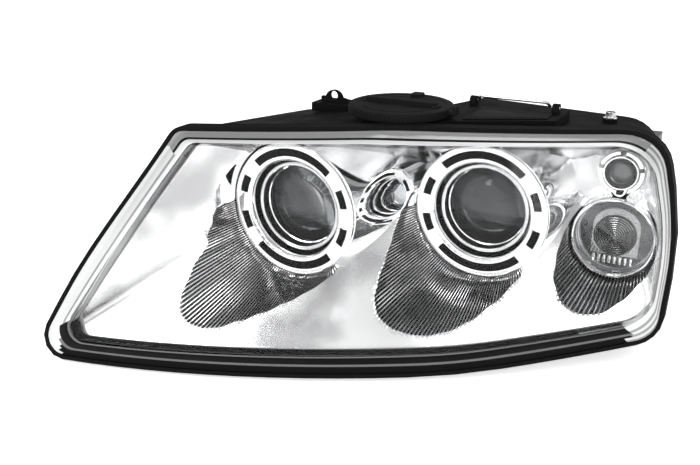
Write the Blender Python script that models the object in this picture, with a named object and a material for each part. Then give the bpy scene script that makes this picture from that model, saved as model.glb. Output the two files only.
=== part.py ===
"""Car headlight assembly, left-hand side, twin projector modules.

Frame: metres, +Z up, the beam leaves towards -Y, +X is the outboard end.
All driving dimensions are in millimetres, measured from the centre of the
inner trim ring; OX, OY and GROUND move the part to its own frame.
"""
import bpy
import bmesh
import math
from mathutils import Vector, Matrix
from mathutils.geometry import delaunay_2d_cdt

for ob in list(bpy.data.objects):
    bpy.data.objects.remove(ob, do_unlink=True)

# ------------------------------------------------------------ dimensions (mm)
OX, OY, GROUND = 57.6, 62.9, -126.0
M1 = (0.0, 0.0, 0.0)              # inner module, centre of its trim ring
M2 = (140.0, 75.0, -2.0)          # outer module
TS = (240.0, 142.0, -29.0)        # turn signal
SIDE_A = (240.0, 141.0, 30.0)     # corner lamp
SIDE_B = (240.0, 143.0, 14.6)     # small corner lamp
R_HOLE = 58.6                     # bezel opening round a trim ring
R_TURN = 37.2                     # bezel opening round the turn signal
R_SIDE_A, R_SIDE_B = 20.4, 9.2
LENS_T = 3.0
SEAL_GAP = 0.3
REAR_IN, REAR_OUT = 152.0, 230.0  # rear wall behind the inner / outer module
STEP0, STEP1 = 58.0, 84.0         # where the rear wall steps back
TILT_Y, TILT_Z = 135.0, 0.0       # beam-levelling axis (along X)
CAP_C = (56.0, 90.0)              # roof access cap
PAD_Z = 71.0                      # flat platform on the roof

# corner points (x, z, radius) of the sealing flange, lens shoulder and rear
FLANGE = [(-94, 65.0, 9), (75, 69.5, 500), (265, 61.5, 42), (290, -20, 240),
          (289, -102, 16), (150, -118.5, 600), (-185, -121, 17)]
FRONT = [(-66, 61.5, 9), (60, 63.5, 400), (262, 57.2, 40), (284, -18, 220),
         (284, -85, 24), (150, -99.5, 500), (-158, -103, 15)]
REAR = [(-92, 46, 20), (20, 64, 60), (250, 57, 34), (270, -20, 150),
        (268, -92, 18), (150, -104, 200), (-115, -108, 18)]
SIDE_N = [6, 7, 3, 3, 5, 11, 7]
ARC_N = [4, 2, 6, 2, 4, 2, 4]


def lens_y(x, z):
    """Front surface of the cover lens: swept, raked and slightly bowed."""
    return -50 + 0.43 * x + 0.00072 * x * x + 0.33 * z + 0.0006 * (z + 30) ** 2


def wall_depth(z):
    """How far the lens side wall runs back to the flange."""
    s = min(1.0, max(0.0, (z + 60) / 120.0))
    return 12 + 16 * s * s * (3 - 2 * s)


def rim_y(x, z):
    return lens_y(x, z) + wall_depth(z)


def rear_y(x):
    s = min(1.0, max(0.0, (x - STEP0) / (STEP1 - STEP0)))
    return REAR_IN + (REAR_OUT - REAR_IN) * s


def W(p):
    return Vector(((p[0] - OX) / 1000, (p[1] - OY) / 1000, (p[2] - GROUND) / 1000))


# ------------------------------------------------------------ outline helpers
def rounded(corners, snap=None):
    """Closed loop of (x, z) through rounded corners, clockwise from top left."""
    n = len(corners)
    arcs = []
    for i, (cx, cz, r) in enumerate(corners):
        p = Vector((cx, cz))
        a = (Vector(corners[i - 1][:2]) - p)
        b = (Vector(corners[(i + 1) % n][:2]) - p)
        la, lb = a.length, b.length
        a.normalize()
        b.normalize()
        half = math.acos(max(-1, min(1, a.dot(b)))) / 2
        t = min(r / math.tan(half), 0.45 * la, 0.45 * lb)
        r = t * math.tan(half)
        c = p + (a + b).normalized() * (r / math.sin(half))
        s, e = p + a * t - c, p + b * t - c
        ang = s.angle_signed(e)
        pts = []
        for k in range(ARC_N[i] + 1):
            q = ang * k / ARC_N[i]
            pts.append(c + Vector((s.x * math.cos(-q) - s.y * math.sin(-q),
                                   s.x * math.sin(-q) + s.y * math.cos(-q))))
        arcs.append(pts)
    loop = []
    for i in range(n):
        loop += arcs[i]
        s, e = arcs[i][-1], arcs[(i + 1) % n][0]
        for k in range(1, SIDE_N[i]):
            loop.append(s.lerp(e, k / SIDE_N[i]))
    if snap:
        zs = sum(p.y for p in loop) / len(loop)
        for up in (True, False):
            for x in snap:
                j = min((k for k in range(len(loop)) if (loop[k].y > zs) == up),
                        key=lambda k: abs(loop[k].x - x))
                loop[j].x = x
    return loop


def inset(loop, d):
    """Move a clockwise loop inwards by d (outwards when d is negative)."""
    out, n = [], len(loop)
    for i in range(n):
        a = (loop[i] - loop[i - 1]).normalized()
        b = (loop[(i + 1) % n] - loop[i]).normalized()
        na, nb = Vector((a.y, -a.x)), Vector((b.y, -b.x))
        m = na + nb
        out.append(loop[i] + m * (d / max(0.5, 1 + na.dot(nb))))
    return out


def mix(a, b, t):
    return [p.lerp(q, t) for p, q in zip(a, b)]


def at(loop, f):
    """Lift a loop of (x, z) to 3-D with y = f(x, z)."""
    return [(p.x, f(p.x, p.y), p.y) for p in loop]


# ------------------------------------------------------------ mesh helpers
def colour(name, rgb, rough, metal=0.0, alpha=1.0, trans=0.0):
    m = bpy.data.materials.new(name)
    m.use_nodes = True
    b = m.node_tree.nodes["Principled BSDF"]
    b.inputs["Base Color"].default_value = (*rgb, 1)
    b.inputs["Roughness"].default_value = rough
    b.inputs["Metallic"].default_value = metal
    b.inputs["Alpha"].default_value = alpha
    b.inputs["Transmission Weight"].default_value = trans
    m.diffuse_color = (*rgb, alpha)
    return m


LOOK = {
    "chrome": ((0.86, 0.87, 0.88), 0.08, 1.0),
    "satin": ((0.78, 0.79, 0.80), 0.25, 1.0),
    "black": ((0.02, 0.02, 0.022), 0.5, 0.0),
    "grey": ((0.12, 0.12, 0.13), 0.55, 0.0),
    "rubber": ((0.012, 0.012, 0.012), 0.85, 0.0),
    "steel": ((0.55, 0.56, 0.58), 0.3, 1.0),
    "alu": ((0.62, 0.63, 0.65), 0.4, 1.0),
    "glass": ((0.95, 0.97, 0.98), 0.02, 0.0),
    "label": ((0.10, 0.10, 0.10), 0.6, 0.0),
    "brass": ((0.72, 0.55, 0.25), 0.35, 1.0),
}


def make(name, verts, faces, look, origin=(0, 0, 0), world=False, smooth=True):
    """Object from points in mm; origin (mm) becomes the object's location."""
    o = W(origin) if not world else Vector((0, 0, 0))
    me = bpy.data.meshes.new(name)
    me.from_pydata([W(v) - o for v in verts], [], faces)
    bm = bmesh.new()
    bm.from_mesh(me)
    bmesh.ops.remove_doubles(bm, verts=bm.verts, dist=1e-6)
    bmesh.ops.recalc_face_normals(bm, faces=bm.faces)
    if bm.calc_volume(signed=True) < 0:
        bmesh.ops.reverse_faces(bm, faces=bm.faces)
    bm.to_mesh(me)
    bm.free()
    ob = bpy.data.objects.new(name, me)
    ob.location = o
    bpy.context.scene.collection.objects.link(ob)
    rgb, rough, metal = LOOK[look]
    glass = look == "glass"
    me.materials.append(colour(name + "_mat", rgb, rough, metal,
                               0.35 if glass else 1.0, 0.9 if glass else 0.0))
    if smooth:
        me.shade_smooth()
        me.set_sharp_from_angle(angle=math.radians(32))
    return ob


def tube_of_loops(loops, close=True):
    """Quads between successive loops of equal length; close joins last to first."""
    n = len(loops[0])
    verts = [p for lp in loops for p in lp]
    faces = []
    m = len(loops)
    for i in range(m if close else m - 1):
        j = (i + 1) % m
        for k in range(n):
            l = (k + 1) % n
            faces.append((i * n + k, i * n + l, j * n + l, j * n + k))
    return verts, faces


def turned(profile, centre, seg=32, axis="Y", phase=0.0):
    """Points and faces of a closed profile [(r, a)] turned about an axis."""
    verts, faces, rows = [], [], []
    for r, a in profile:
        if r < 1e-6:
            rows.append([len(verts)])
            ring = [(0.0, 0.0)]
        else:
            rows.append(list(range(len(verts), len(verts) + seg)))
            ring = [(r * math.cos(2 * math.pi * k / seg + phase),
                     r * math.sin(2 * math.pi * k / seg + phase)) for k in range(seg)]
        for u, v in ring:
            if axis == "Y":
                verts.append((centre[0] + u, centre[1] + a, centre[2] + v))
            elif axis == "Z":
                verts.append((centre[0] + u, centre[1] + v, centre[2] + a))
            else:
                verts.append((centre[0] + a, centre[1] + u, centre[2] + v))
    m = len(profile)
    for i in range(m):
        a, b = rows[i], rows[(i + 1) % m]
        if len(a) == 1 and len(b) == 1:
            continue
        for k in range(seg):
            l = (k + 1) % seg
            if len(a) == 1:
                faces.append((a[0], b[l], b[k]))
            elif len(b) == 1:
                faces.append((a[k], a[l], b[0]))
            else:
                faces.append((a[k], a[l], b[l], b[k]))
    return verts, faces


def turn(name, profile, centre, look, seg=32, axis="Y", origin=None, phase=0.0):
    v, f = turned(profile, centre, seg, axis, phase)
    return make(name, v, f, look, origin or centre)


def block(name, lo, hi, look="black", origin=None, bevel=0.0):
    v = [(x, y, z) for x in (lo[0], hi[0]) for y in (lo[1], hi[1]) for z in (lo[2], hi[2])]
    f = [(0, 1, 3, 2), (4, 6, 7, 5), (0, 4, 5, 1), (2, 3, 7, 6), (0, 2, 6, 4), (1, 5, 7, 3)]
    c = tuple((a + b) / 2 for a, b in zip(lo, hi))
    ob = make(name, v, f, look, origin or c, smooth=False)
    if bevel:
        m = ob.modifiers.new("bevel", "BEVEL")
        m.width = bevel / 1000
        m.segments = 1
        m.limit_method = "ANGLE"
    return ob


def prism(name, poly, axis, lo, hi, look="black", origin=None):
    """Convex or simple polygon [(u, v)] extruded along an axis."""
    n = len(poly)
    verts = []
    for a in (lo, hi):
        for u, v in poly:
            verts.append({"X": (a, u, v), "Y": (u, a, v), "Z": (u, v, a)}[axis])
    faces = [tuple(range(n))[::-1], tuple(range(n, 2 * n))]
    faces += [(k, (k + 1) % n, n + (k + 1) % n, n + k) for k in range(n)]
    return make(name, verts, faces, look, origin or verts[0], smooth=False)


def tidy(me, flat=True):
    bm = bmesh.new()
    bm.from_mesh(me)
    bmesh.ops.remove_doubles(bm, verts=bm.verts, dist=2e-6)
    bmesh.ops.dissolve_degenerate(bm, edges=bm.edges, dist=2e-6)
    if flat:
        bmesh.ops.triangulate(bm, faces=[f for f in bm.faces if len(f.verts) > 3])
    bm.to_mesh(me)
    bm.free()


def combine(ob, others, op):
    """Apply Boolean UNION or DIFFERENCE with each of the other objects."""
    tidy(ob.data)
    for cut in others:
        cut.hide_render = True
        cut.display_type = "WIRE"
        m = ob.modifiers.new(op.lower(), "BOOLEAN")
        m.operation = op
        m.solver = "EXACT"
        m.object = cut
        dg = bpy.context.evaluated_depsgraph_get()
        me = bpy.data.meshes.new_from_object(ob.evaluated_get(dg))
        ob.modifiers.clear()
        old = ob.data
        mats = [x for x in old.materials][:1]
        ob.data = me
        me.materials.clear()
        for x in mats:
            me.materials.append(x)
        for poly in me.polygons:
            poly.material_index = 0
        bpy.data.meshes.remove(old)
        cm = cut.data
        bpy.data.objects.remove(cut, do_unlink=True)
        bpy.data.meshes.remove(cm)
        tidy(ob.data)
    ob.data.shade_smooth()
    ob.data.set_sharp_from_angle(angle=math.radians(32))
    return ob


def wire(name, pts, r, look, origin, seg=8):
    """Round bar through a polyline (mm), flat ends."""
    verts, faces = [], []
    n = len(pts)
    P = [Vector(p) for p in pts]
    up = None
    for i in range(n):
        d = (P[min(i + 1, n - 1)] - P[max(i - 1, 0)]).normalized()
        if up is None:
            up = d.orthogonal().normalized()
        up = (up - d * up.dot(d)).normalized()
        side = d.cross(up)
        for k in range(seg):
            a = 2 * math.pi * k / seg
            verts.append(tuple(P[i] + up * (r * math.cos(a)) + side * (r * math.sin(a))))
    for i in range(n - 1):
        for k in range(seg):
            l = (k + 1) % seg
            faces.append((i * seg + k, i * seg + l, (i + 1) * seg + l, (i + 1) * seg + k))
    faces.append(tuple(range(seg))[::-1])
    faces.append(tuple(range((n - 1) * seg, n * seg)))
    return make(name, verts, faces, look, origin)


# ------------------------------------------------------------ outline loops
flange = rounded(FLANGE)
front = rounded(FRONT)
rear = rounded(REAR, snap=(STEP0, STEP1))
N = len(flange)

# ------------------------------------------------------------ cover lens
foot_o, foot_i = inset(flange, 0.8), inset(flange, 3.8)
shoulder = [(0.36, 0.56), (0.76, 0.14)]
outer = [at(foot_o, rim_y), at(foot_o, lambda x, z: rim_y(x, z) - 4)]
inner = [at(foot_i, rim_y), at(foot_i, lambda x, z: rim_y(x, z) - 2)]
for t, d in shoulder:
    lp = mix(foot_o, front, t)
    outer.append(at(lp, lambda x, z: lens_y(x, z) + wall_depth(z) * d - 0.4))
    inner.append(at(inset(lp, LENS_T), lambda x, z: lens_y(x, z) + wall_depth(z) * d + LENS_T - 0.4))
outer.append(at(front, lens_y))
inner.append(at(inset(front, LENS_T), lambda x, z: lens_y(x, z) + LENS_T))
mid = Vector((70, -20))
for s in (0.78, 0.42):
    lp = [mid.lerp(p, s) for p in front]
    outer.append(at(lp, lens_y))
    inner.append(at(lp, lambda x, z: lens_y(x, z) + LENS_T))
seq = inner[::-1] + outer          # inner centre ... foot, foot ... outer centre
v, f = tube_of_loops(seq, close=False)
v += [(mid.x, lens_y(*mid) + LENS_T, mid.y), (mid.x, lens_y(*mid), mid.y)]
last = (len(seq) - 1) * N
for k in range(N):
    l = (k + 1) % N
    f.append((l, k, len(v) - 2))
    f.append((last + k, last + l, len(v) - 1))
make("outer_lens", v, f, "glass", (70, 0, -20))

# ------------------------------------------------------------ lens seal
a, b = inset(flange, 0.9), inset(flange, 6.4)
seal = [at(a, lambda x, z: rim_y(x, z) + SEAL_GAP), at(b, lambda x, z: rim_y(x, z) + SEAL_GAP),
        at(b, lambda x, z: rim_y(x, z) + 2.7), at(a, lambda x, z: rim_y(x, z) + 2.7)]
v, f = tube_of_loops(seal)
make("lens_seal", v, f, "rubber", (70, 0, -20))

# ------------------------------------------------------------ housing shell
lip_o, lip_i = inset(flange, -3.0), inset(flange, 0.4)
neck_o, neck_i = inset(flange, 1.5), inset(flange, 7.5)
rear_i = inset(rear, 3.0)
loops = [at(lip_i, lambda x, z: rim_y(x, z) + 3.0),
         at(lip_i, lambda x, z: rim_y(x, z) - 4.5),
         at(lip_o, lambda x, z: rim_y(x, z) - 4.5),
         at(lip_o, lambda x, z: rim_y(x, z) + 8.0),
         at(neck_o, lambda x, z: rim_y(x, z) + 9.0)]
back_o = [(p.x, rear_y(p.x), p.y) for p in rear]
back_i = [(p.x, rear_y(q.x) - 3.0, p.y) for p, q in zip(rear_i, rear)]
waist_o = [tuple(a[i] + (b[i] - a[i]) * 0.9 for i in range(3)) for a, b in zip(loops[-1], back_o)]
loops.append([(x, y, z) for x, y, z in waist_o])
loops.append(back_o)
loops.append(back_i)
loops.append(at(neck_i, lambda x, z: rim_y(x, z) + 3.0))
v, f = tube_of_loops(loops)
skip = set()
n0, n1 = 6 * N, 7 * N             # back_o and back_i start here
f = [q for i, q in enumerate(f) if not (6 * N <= i < 7 * N)]
for base, pts in ((n0, rear), (n1, rear_i)):
    tops = {}
    for x in (STEP0, STEP1):
        up = [k for k in range(N) if rear[k].x == x and rear[k].y > 0][0]
        dn = [k for k in range(N) if rear[k].x == x and rear[k].y < 0][0]
        tops[x] = (up, dn)
    edges = [(k, (k + 1) % N) for k in range(N)] + list(tops.values())
    res = delaunay_2d_cdt([p.copy() for p in pts], edges, [list(range(N))], 1, 1e-5)
    assert len(res[0]) == N
    for tri in res[2]:
        f.append(tuple(base + k for k in tri))
housing = make("housing", v, f, "black", (60, 60, -20))

ring = lambda c, r0, r1, a0, a1, ax, seg=36: turn("tmp", [(r0, a0), (r1, a0), (r1, a1), (r0, a1)], c, "black", seg, ax)
rod = lambda c, r, a0, a1, ax, seg=36: turn("tmp", [(0, a0), (r, a0), (r, a1), (0, a1)], c, "black", seg, ax)
adds = [
    prism("tmp", [(94, 74), (184, 124), (184, 172), (94, 172)], "Z", 61.2, PAD_Z),   # roof platform
    block("tmp", (-52, 118, 56.2), (-8, 147, 64.5)),              # pad of the loop bracket
    rod((CAP_C[0], CAP_C[1], 0), 40.0, 57.3, 74.0, "Z"),          # collar of the roof cap
    rod((216, 190, 0), 6.5, 50.0, 63.0, "Z", 16),                 # outer fixing boss
    rod((M1[0], REAR_IN, M1[2]), 44.0, -2.6, 9.0, "Y"),           # collars of the rear caps
    rod((M2[0], REAR_OUT, M2[2]), 44.0, -2.6, 9.0, "Y"),
    block("tmp", (-66, -20, -120.7), (-34, 140, -104)),           # pads of the slide rails
    block("tmp", (186, 96, -120.7), (218, 216, -96)),
    block("tmp", (54, -17, -120.7), (90, 8, -110)),
    block("tmp", (-160, 24, -38), (-112, 56, -28)),               # inboard fixing ear
]
combine(housing, adds, "UNION")
cuts = [
    rod((CAP_C[0], CAP_C[1], 0), 36.0, 40.0, 80.0, "Z"),
    rod((M1[0], REAR_IN, M1[2]), 40.0, -12.0, 12.0, "Y"),
    rod((M2[0], REAR_OUT, M2[2]), 40.0, -12.0, 12.0, "Y"),
    rod((-66, REAR_IN, -84), 4.6, -12.0, 12.0, "Y", 16),
    rod((40, REAR_IN, -84), 4.6, -12.0, 12.0, "Y", 16),
    rod((TS[0], REAR_OUT, TS[2]), 14.6, -12.0, 12.0, "Y", 24),
]
combine(housing, cuts, "DIFFERENCE")


# ------------------------------------------------------------ bezel
def side_dist(x, z):
    """Signed distance to the corner-lamp and turn-signal opening."""
    return min(math.hypot(x - TS[0], z - TS[2]) - R_TURN,
               math.hypot(x - SIDE_A[0], z - SIDE_A[2]) - R_SIDE_A,
               math.hypot(x - SIDE_B[0], z - SIDE_B[2]) - R_SIDE_B)


def line_dist(x, z, p, q):
    """Distance inside the edge p -> q of the clockwise front outline."""
    d = Vector((q[0] - p[0], q[1] - p[1])).normalized()
    return (x - p[0]) * d.y - (z - p[1]) * d.x


def face_y(x, z):
    """Dished face of the bezel before the modules are worked into it."""
    left = line_dist(x, z, FRONT[6], FRONT[0])
    top = min(line_dist(x, z, FRONT[0], FRONT[1]), line_dist(x, z, FRONT[1], FRONT[2]))
    right = min(line_dist(x, z, FRONT[2], FRONT[3]), line_dist(x, z, FRONT[3], FRONT[4]))
    low = min(line_dist(x, z, FRONT[5], FRONT[6]), line_dist(x, z, FRONT[4], FRONT[5]))
    d = min(1.05 * left, 2.6 * top, 1.5 * right, 0.72 * low)
    return min(lens_y(x, z) + 9 + max(0.0, d - 2), 148.0)


MODS = [(M1, R_HOLE, 0.30, 0.29), (M2, R_HOLE, 0.30, 0.07)]


def bezel_y(x, z):
    y = face_y(x, z)
    for c, r, f_in, f_out in MODS:
        d = math.hypot(x - c[0], z - c[2]) - r
        y = max(y, c[1] - max(0.0, d) / f_in)
    y = max(y, TS[1] - max(0.0, side_dist(x, z)) / 0.30)
    for c, r, f_in, f_out in MODS:
        d = math.hypot(x - c[0], z - c[2]) - r
        y = min(y, c[1] + max(0.0, d) / f_out)
    return min(y, TS[1] + max(0.0, side_dist(x, z)) / 0.2, 148.0)


def side_opening():
    """Outline of the three overlapping round openings, one closed loop."""
    def meet(c0, r0, c1, r1):
        d = c1 - c0
        a = (r0 * r0 - r1 * r1 + d * d) / (2 * d)
        return math.atan2(a, math.sqrt(r0 * r0 - a * a)), math.atan2(a - d, math.sqrt(r0 * r0 - a * a))
    t_end, b_start = meet(TS[2], R_TURN, SIDE_B[2], R_SIDE_B)
    b_end, a_start = meet(SIDE_B[2], R_SIDE_B, SIDE_A[2], R_SIDE_A)
    right = []
    for (c, r, s, e, n) in ((TS[2], R_TURN, -math.pi / 2, t_end, 14),
                            (SIDE_B[2], R_SIDE_B, b_start, b_end, 3),
                            (SIDE_A[2], R_SIDE_A, a_start, math.pi / 2, 10)):
        for k in range(n + 1):
            if right and k == 0:
                continue
            q = s + (e - s) * k / n
            right.append((r * math.cos(q), c + r * math.sin(q)))
    loop = [(TS[0] + u, w) for u, w in right]
    loop += [(TS[0] - u, w) for u, w in right[-2:0:-1]]
    return [Vector(p) for p in loop]


edge = inset(front, 2.9)
edge2 = inset(front, 7.0)
pts, edges, holes = [], [], []


def add_loop(lp):
    s = len(pts)
    pts.extend(lp)
    ids = list(range(s, s + len(lp)))
    edges.extend((ids[k], ids[(k + 1) % len(ids)]) for k in range(len(ids)))
    return ids


outer_ids = add_loop(edge)
holes.append(add_loop([Vector((M1[0] + R_HOLE * math.cos(2 * math.pi * k / 48),
                               M1[2] + R_HOLE * math.sin(2 * math.pi * k / 48))) for k in range(48)]))
holes.append(add_loop([Vector((M2[0] + R_HOLE * math.cos(2 * math.pi * k / 48),
                               M2[2] + R_HOLE * math.sin(2 * math.pi * k / 48))) for k in range(48)]))
holes.append(add_loop(side_opening()))


def inside(x, z, lp):
    c = False
    for k in range(len(lp)):
        p, q = lp[k - 1], lp[k]
        if (p.y > z) != (q.y > z) and x < p.x + (z - p.y) * (q.x - p.x) / (q.y - p.y):
            c = not c
    return c


limit = inset(front, 9.5)


def hole_gap(p):
    """Distance from a point to the nearest opening in the bezel."""
    return min([math.hypot(p.x - c[0], p.y - c[2]) - r for c, r, _, _ in MODS] + [side_dist(p.x, p.y)])


free = [p for p in edge2 if hole_gap(p) > 2.4]


def try_point(x, z, gap):
    if not inside(x, z, limit):
        return
    if any(math.hypot(x - c[0], z - c[2]) < r + 3.2 for c, r, _, _ in MODS):
        if gap > 3:
            return
    if any(math.hypot(x - c[0], z - c[2]) < r + 1.2 for c, r, _, _ in MODS) or side_dist(x, z) < 1.5:
        return
    if all((x - p.x) ** 2 + (z - p.y) ** 2 > gap * gap for p in free):
        free.append(Vector((x, z)))


for i, (c, r, f_in, f_out) in enumerate(MODS):
    for dr in (4.8, 11.0, 18.0, 26.0):
        for k in range(48):
            q = 2 * math.pi * (k + 0.5 * (dr > 10)) / 48
            x, z = c[0] + (r + dr) * math.cos(q), c[2] + (r + dr) * math.sin(q)
            o = MODS[1 - i]
            if math.hypot(x - o[0][0], z - o[0][2]) - o[1] > dr - 0.5:
                try_point(x, z, 3.0)
for dr in (4.0, 10.0):
    for k in range(40):
        q = 2 * math.pi * k / 40
        try_point(TS[0] + (R_TURN + dr) * math.cos(q), TS[2] + (R_TURN + dr) * math.sin(q), 3.6)
x = -160.0
while x < 290:
    z = -100.0
    while z < 66:
        try_point(x, z, 8.5)
        z += 13.0
    x += 13.0
pts.extend(free)
res = delaunay_2d_cdt(pts, edges, [], 0, 1e-5)
assert len(res[0]) == len(pts)
tris = []
hole_polys = [[pts[k] for k in h] for h in holes]
edge_poly = [pts[k] for k in outer_ids]
for tri in res[2]:
    cx = sum(pts[k].x for k in tri) / 3
    cz = sum(pts[k].y for k in tri) / 3
    if inside(cx, cz, edge_poly) and not any(inside(cx, cz, h) for h in hole_polys):
        tris.append(tuple(tri))
nb = len(pts)


def border(p):
    """Width of the lens border at a flange point."""
    best = 1e9
    for k in range(N):
        a, b = front[k - 1], front[k]
        t = min(1.0, max(0.0, (p - a).dot(b - a) / (b - a).length_squared))
        best = min(best, (p - a.lerp(b, t)).length)
    return best


deep = [min(1.0, max(0.0, (15.0 - border(p)) / 6.0)) for p in flange]


def shrunk(corners, d):
    """Rounded loop of an outline drawn d inside the given corners."""
    out = []
    for i, (cx, cz, r) in enumerate(corners):
        p = Vector((cx, cz))
        a = (p - Vector(corners[i - 1][:2])).normalized()
        b = (Vector(corners[(i + 1) % len(corners)][:2]) - p).normalized()
        na, nb_ = Vector((a.y, -a.x)), Vector((b.y, -b.x))
        q = p + (na + nb_) * (d / (1 + na.dot(nb_)))
        out.append((q.x, q.y, max(2.0, r - d)))
    return rounded(out)


skirt = [a.lerp(b, s) for a, b, s in zip(shrunk(FLANGE, 9.4), shrunk(FLANGE, 5.2), deep)]
skirt_i = [a.lerp(b, s) for a, b, s in zip(shrunk(FLANGE, 11.2), shrunk(FLANGE, 7.0), deep)]
verts = [(p.x, bezel_y(p.x, p.y) if k >= N else lens_y(p.x, p.y) + 9, p.y) for k, p in enumerate(pts)]
back = []
for k, p in enumerate(pts):
    back.append((p.x, verts[k][1] + 4.5, p.y))
verts += back
faces = [t for t in tris] + [tuple(nb + k for k in t[::-1]) for t in tris]
for h in holes:
    for k in range(len(h)):
        a, b = h[k], h[(k + 1) % len(h)]
        faces.append((a, b, nb + b, nb + a))
s0 = len(verts)
for lp in (skirt, skirt_i):
    verts += [(p.x, lens_y(p.x, p.y) + max(wall_depth(q.y) - 4.0, 13.0 - 1.8 * s), p.y)
              for p, q, s in zip(lp, flange, deep)]
for k in range(N):
    l = (k + 1) % N
    faces.append((k, l, s0 + l, s0 + k))
    faces.append((s0 + k, s0 + l, s0 + N + l, s0 + N + k))
    faces.append((s0 + N + k, s0 + N + l, nb + l, nb + k))
make("bezel", verts, faces, "chrome", (70, 0, -20))


# ------------------------------------------------------------ trim rings
def slot(c, a0, a1, r0=46.5, r1=53.5, n=5):
    poly = []
    m = max(2, int(n * (a1 - a0) / 90))
    for k in range(m + 1):
        q = math.radians(a0 + (a1 - a0) * k / m)
        poly.append((c[0] + r1 * math.cos(q), c[2] + r1 * math.sin(q)))
    for k in range(m, -1, -1):
        q = math.radians(a0 + (a1 - a0) * k / m)
        poly.append((c[0] + r0 * math.cos(q), c[2] + r0 * math.sin(q)))
    return prism("tmp", poly, "Y", c[1] - 12, c[1] + 12)


SLOTS = ((46, 134), (226, 314), (152, 170), (190, 208), (-28, -10), (10, 28))
for name, c in (("trim_ring_inner", M1), ("trim_ring_outer", M2)):
    ob = turn(name, [(42.5, -0.5), (44.5, -1.6), (57.2, -3.0), (58.2, -2.0), (58.2, 4.0), (42.5, 4.0)], c, "chrome", 40)
    combine(ob, [slot(c, *s) for s in SLOTS], "DIFFERENCE")

# ------------------------------------------------------------ projector modules
TP = (0, TILT_Y, TILT_Z)
for tag, c in (("inner", M1), ("outer", M2)):
    turn("lens_barrel_" + tag, [(36.0, 7), (39.5, 7), (41.5, 9), (41.5, 39.5), (50, 39.5), (50, 42.9), (38.3, 42.9),
                                (38.3, 9.5), (36.0, 9.0)], c, "satin", 30, origin=c)
    dome = [(0, 6.0)] + [(37.9 * k / 5, 6.0 + 16.0 * (k / 5) ** 2) for k in range(1, 6)]
    turn("projector_lens_" + tag, dome + [(37.9, 26.0), (0, 26.0)], c, "glass", 30, origin=c)
    bowl_o, bowl_i = [], []
    for k in range(6):
        q = math.radians(90 * k / 5 * 0.86)
        bowl_o.append((41.5 * math.cos(q), 50.0 + 67.0 * math.sin(q)))
        bowl_i.append((38.8 * math.cos(q), 50.0 + 64.0 * math.sin(q)))
    bowl_o[-1] = (15.2 + 3.0, 118.0)
    bowl_i[-1] = (14.5, 114.5)
    prof = [(38.8, 46.7), (50, 46.7), (50, 49.7), (41.6, 49.7)] + bowl_o[1:] + [(14.5, 118.0)] + bowl_i[::-1]
    turn("reflector_bowl_" + tag, prof, c, "satin", 26, origin=c)
    turn("bulb_" + tag, [(0, 72), (4, 73.5), (5, 77), (5, 99), (14, 101), (14, 118.3), (20, 118.3), (20, 122),
                         (12, 122), (12, 140), (0, 140)], c, "steel", 20, origin=c)
    half = [(c[0] + 31 * math.cos(math.radians(a)), c[2] + 31 * math.sin(math.radians(a))) for a in range(180, 361, 15)]
    half = [p for p in half if p[1] > c[2] - 30.2]
    left = [p for p in half if p[0] < c[0]]
    right = [p for p in half if p[0] > c[0] and p[1] < c[2] - 3.0]
    poly = left + right + [(c[0] + 31, c[2] - 2.5), (c[0] + 2, c[2] - 2.5), (c[0] - 2, c[2] + 0.5), (c[0] - 31, c[2] + 0.5)]
    piv = (c[0], c[1] + 45.0, c[2] - 31.0)
    flap = prism("shutter_" + tag, poly, "Y", c[1] + 44.4, c[1] + 45.6, "steel", piv)
    shaft = turn("tmp", [(0, -12.5), (2.2, -12.5), (2.2, 12.5), (0, 12.5)], piv, "steel", 12, "X")
    combine(flap, [shaft], "UNION")

# carrier: two flanges, two links, side arms with pins and the levelling tab
carrier = turn("module_carrier", [(36, 43.3), (52, 43.3), (52, 46.3), (36, 46.3)], M1, "alu", 36, origin=TP)
plate2 = turn("tmp", [(36, 43.3), (52, 43.3), (52, 46.3), (36, 46.3)], M2, "alu", 36)
more = [plate2]
for z0, z1 in ((16, 26), (-27, -17)):
    poly = [(47.9, 43.6), (51.5, 43.6), (90.8, 118.6), (95.0, 118.6), (95.0, 121.0), (88.2, 121.0), (47.9, 46.0)]
    more.append(prism("tmp", poly, "Z", z0, z1))
for c in (M1, M2):
    for s in (-1, 1):
        x0, x1 = sorted((c[0] + s * 12.9, c[0] + s * 19.0))
        more.append(block("tmp", (x0, c[1] + 43.4, c[2] - 38), (x1, c[1] + 46.2, c[2] - 28.5)))
more += [
    block("tmp", (-9, 43.5, -86), (9, 46.1, -48)),
    block("tmp", (-58, 43.5, -7), (-49, 46.1, 7)),
    block("tmp", (-58, 43.5, -7), (-53, 142, 7)),
    turn("tmp", [(0, -70), (4, -70), (4, -55), (0, -55)], (0, TILT_Y, TILT_Z), "alu", 16, "X"),
    block("tmp", (190.5, 118.6, -7), (194.4, 142, 7)),
    turn("tmp", [(0, 192), (4, 192), (4, 197.9), (0, 197.9)], (0, TILT_Y, TILT_Z), "alu", 16, "X"),
]
combine(carrier, more, "UNION")
for name, x0, x1, y1 in (("pivot_bracket_inner", -76, -58.6, REAR_IN - 3.3), ("pivot_bracket_outer", 194.8, 198.2, REAR_OUT - 3.3)):
    ob = block(name, (x0, 126, -9), (x1, y1, 9), "black")
    combine(ob, [turn("tmp", [(0, -90), (4.4, -90), (4.4, 210), (0, 210)], (0, TILT_Y, TILT_Z), "black", 16, "X")], "DIFFERENCE")

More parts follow.
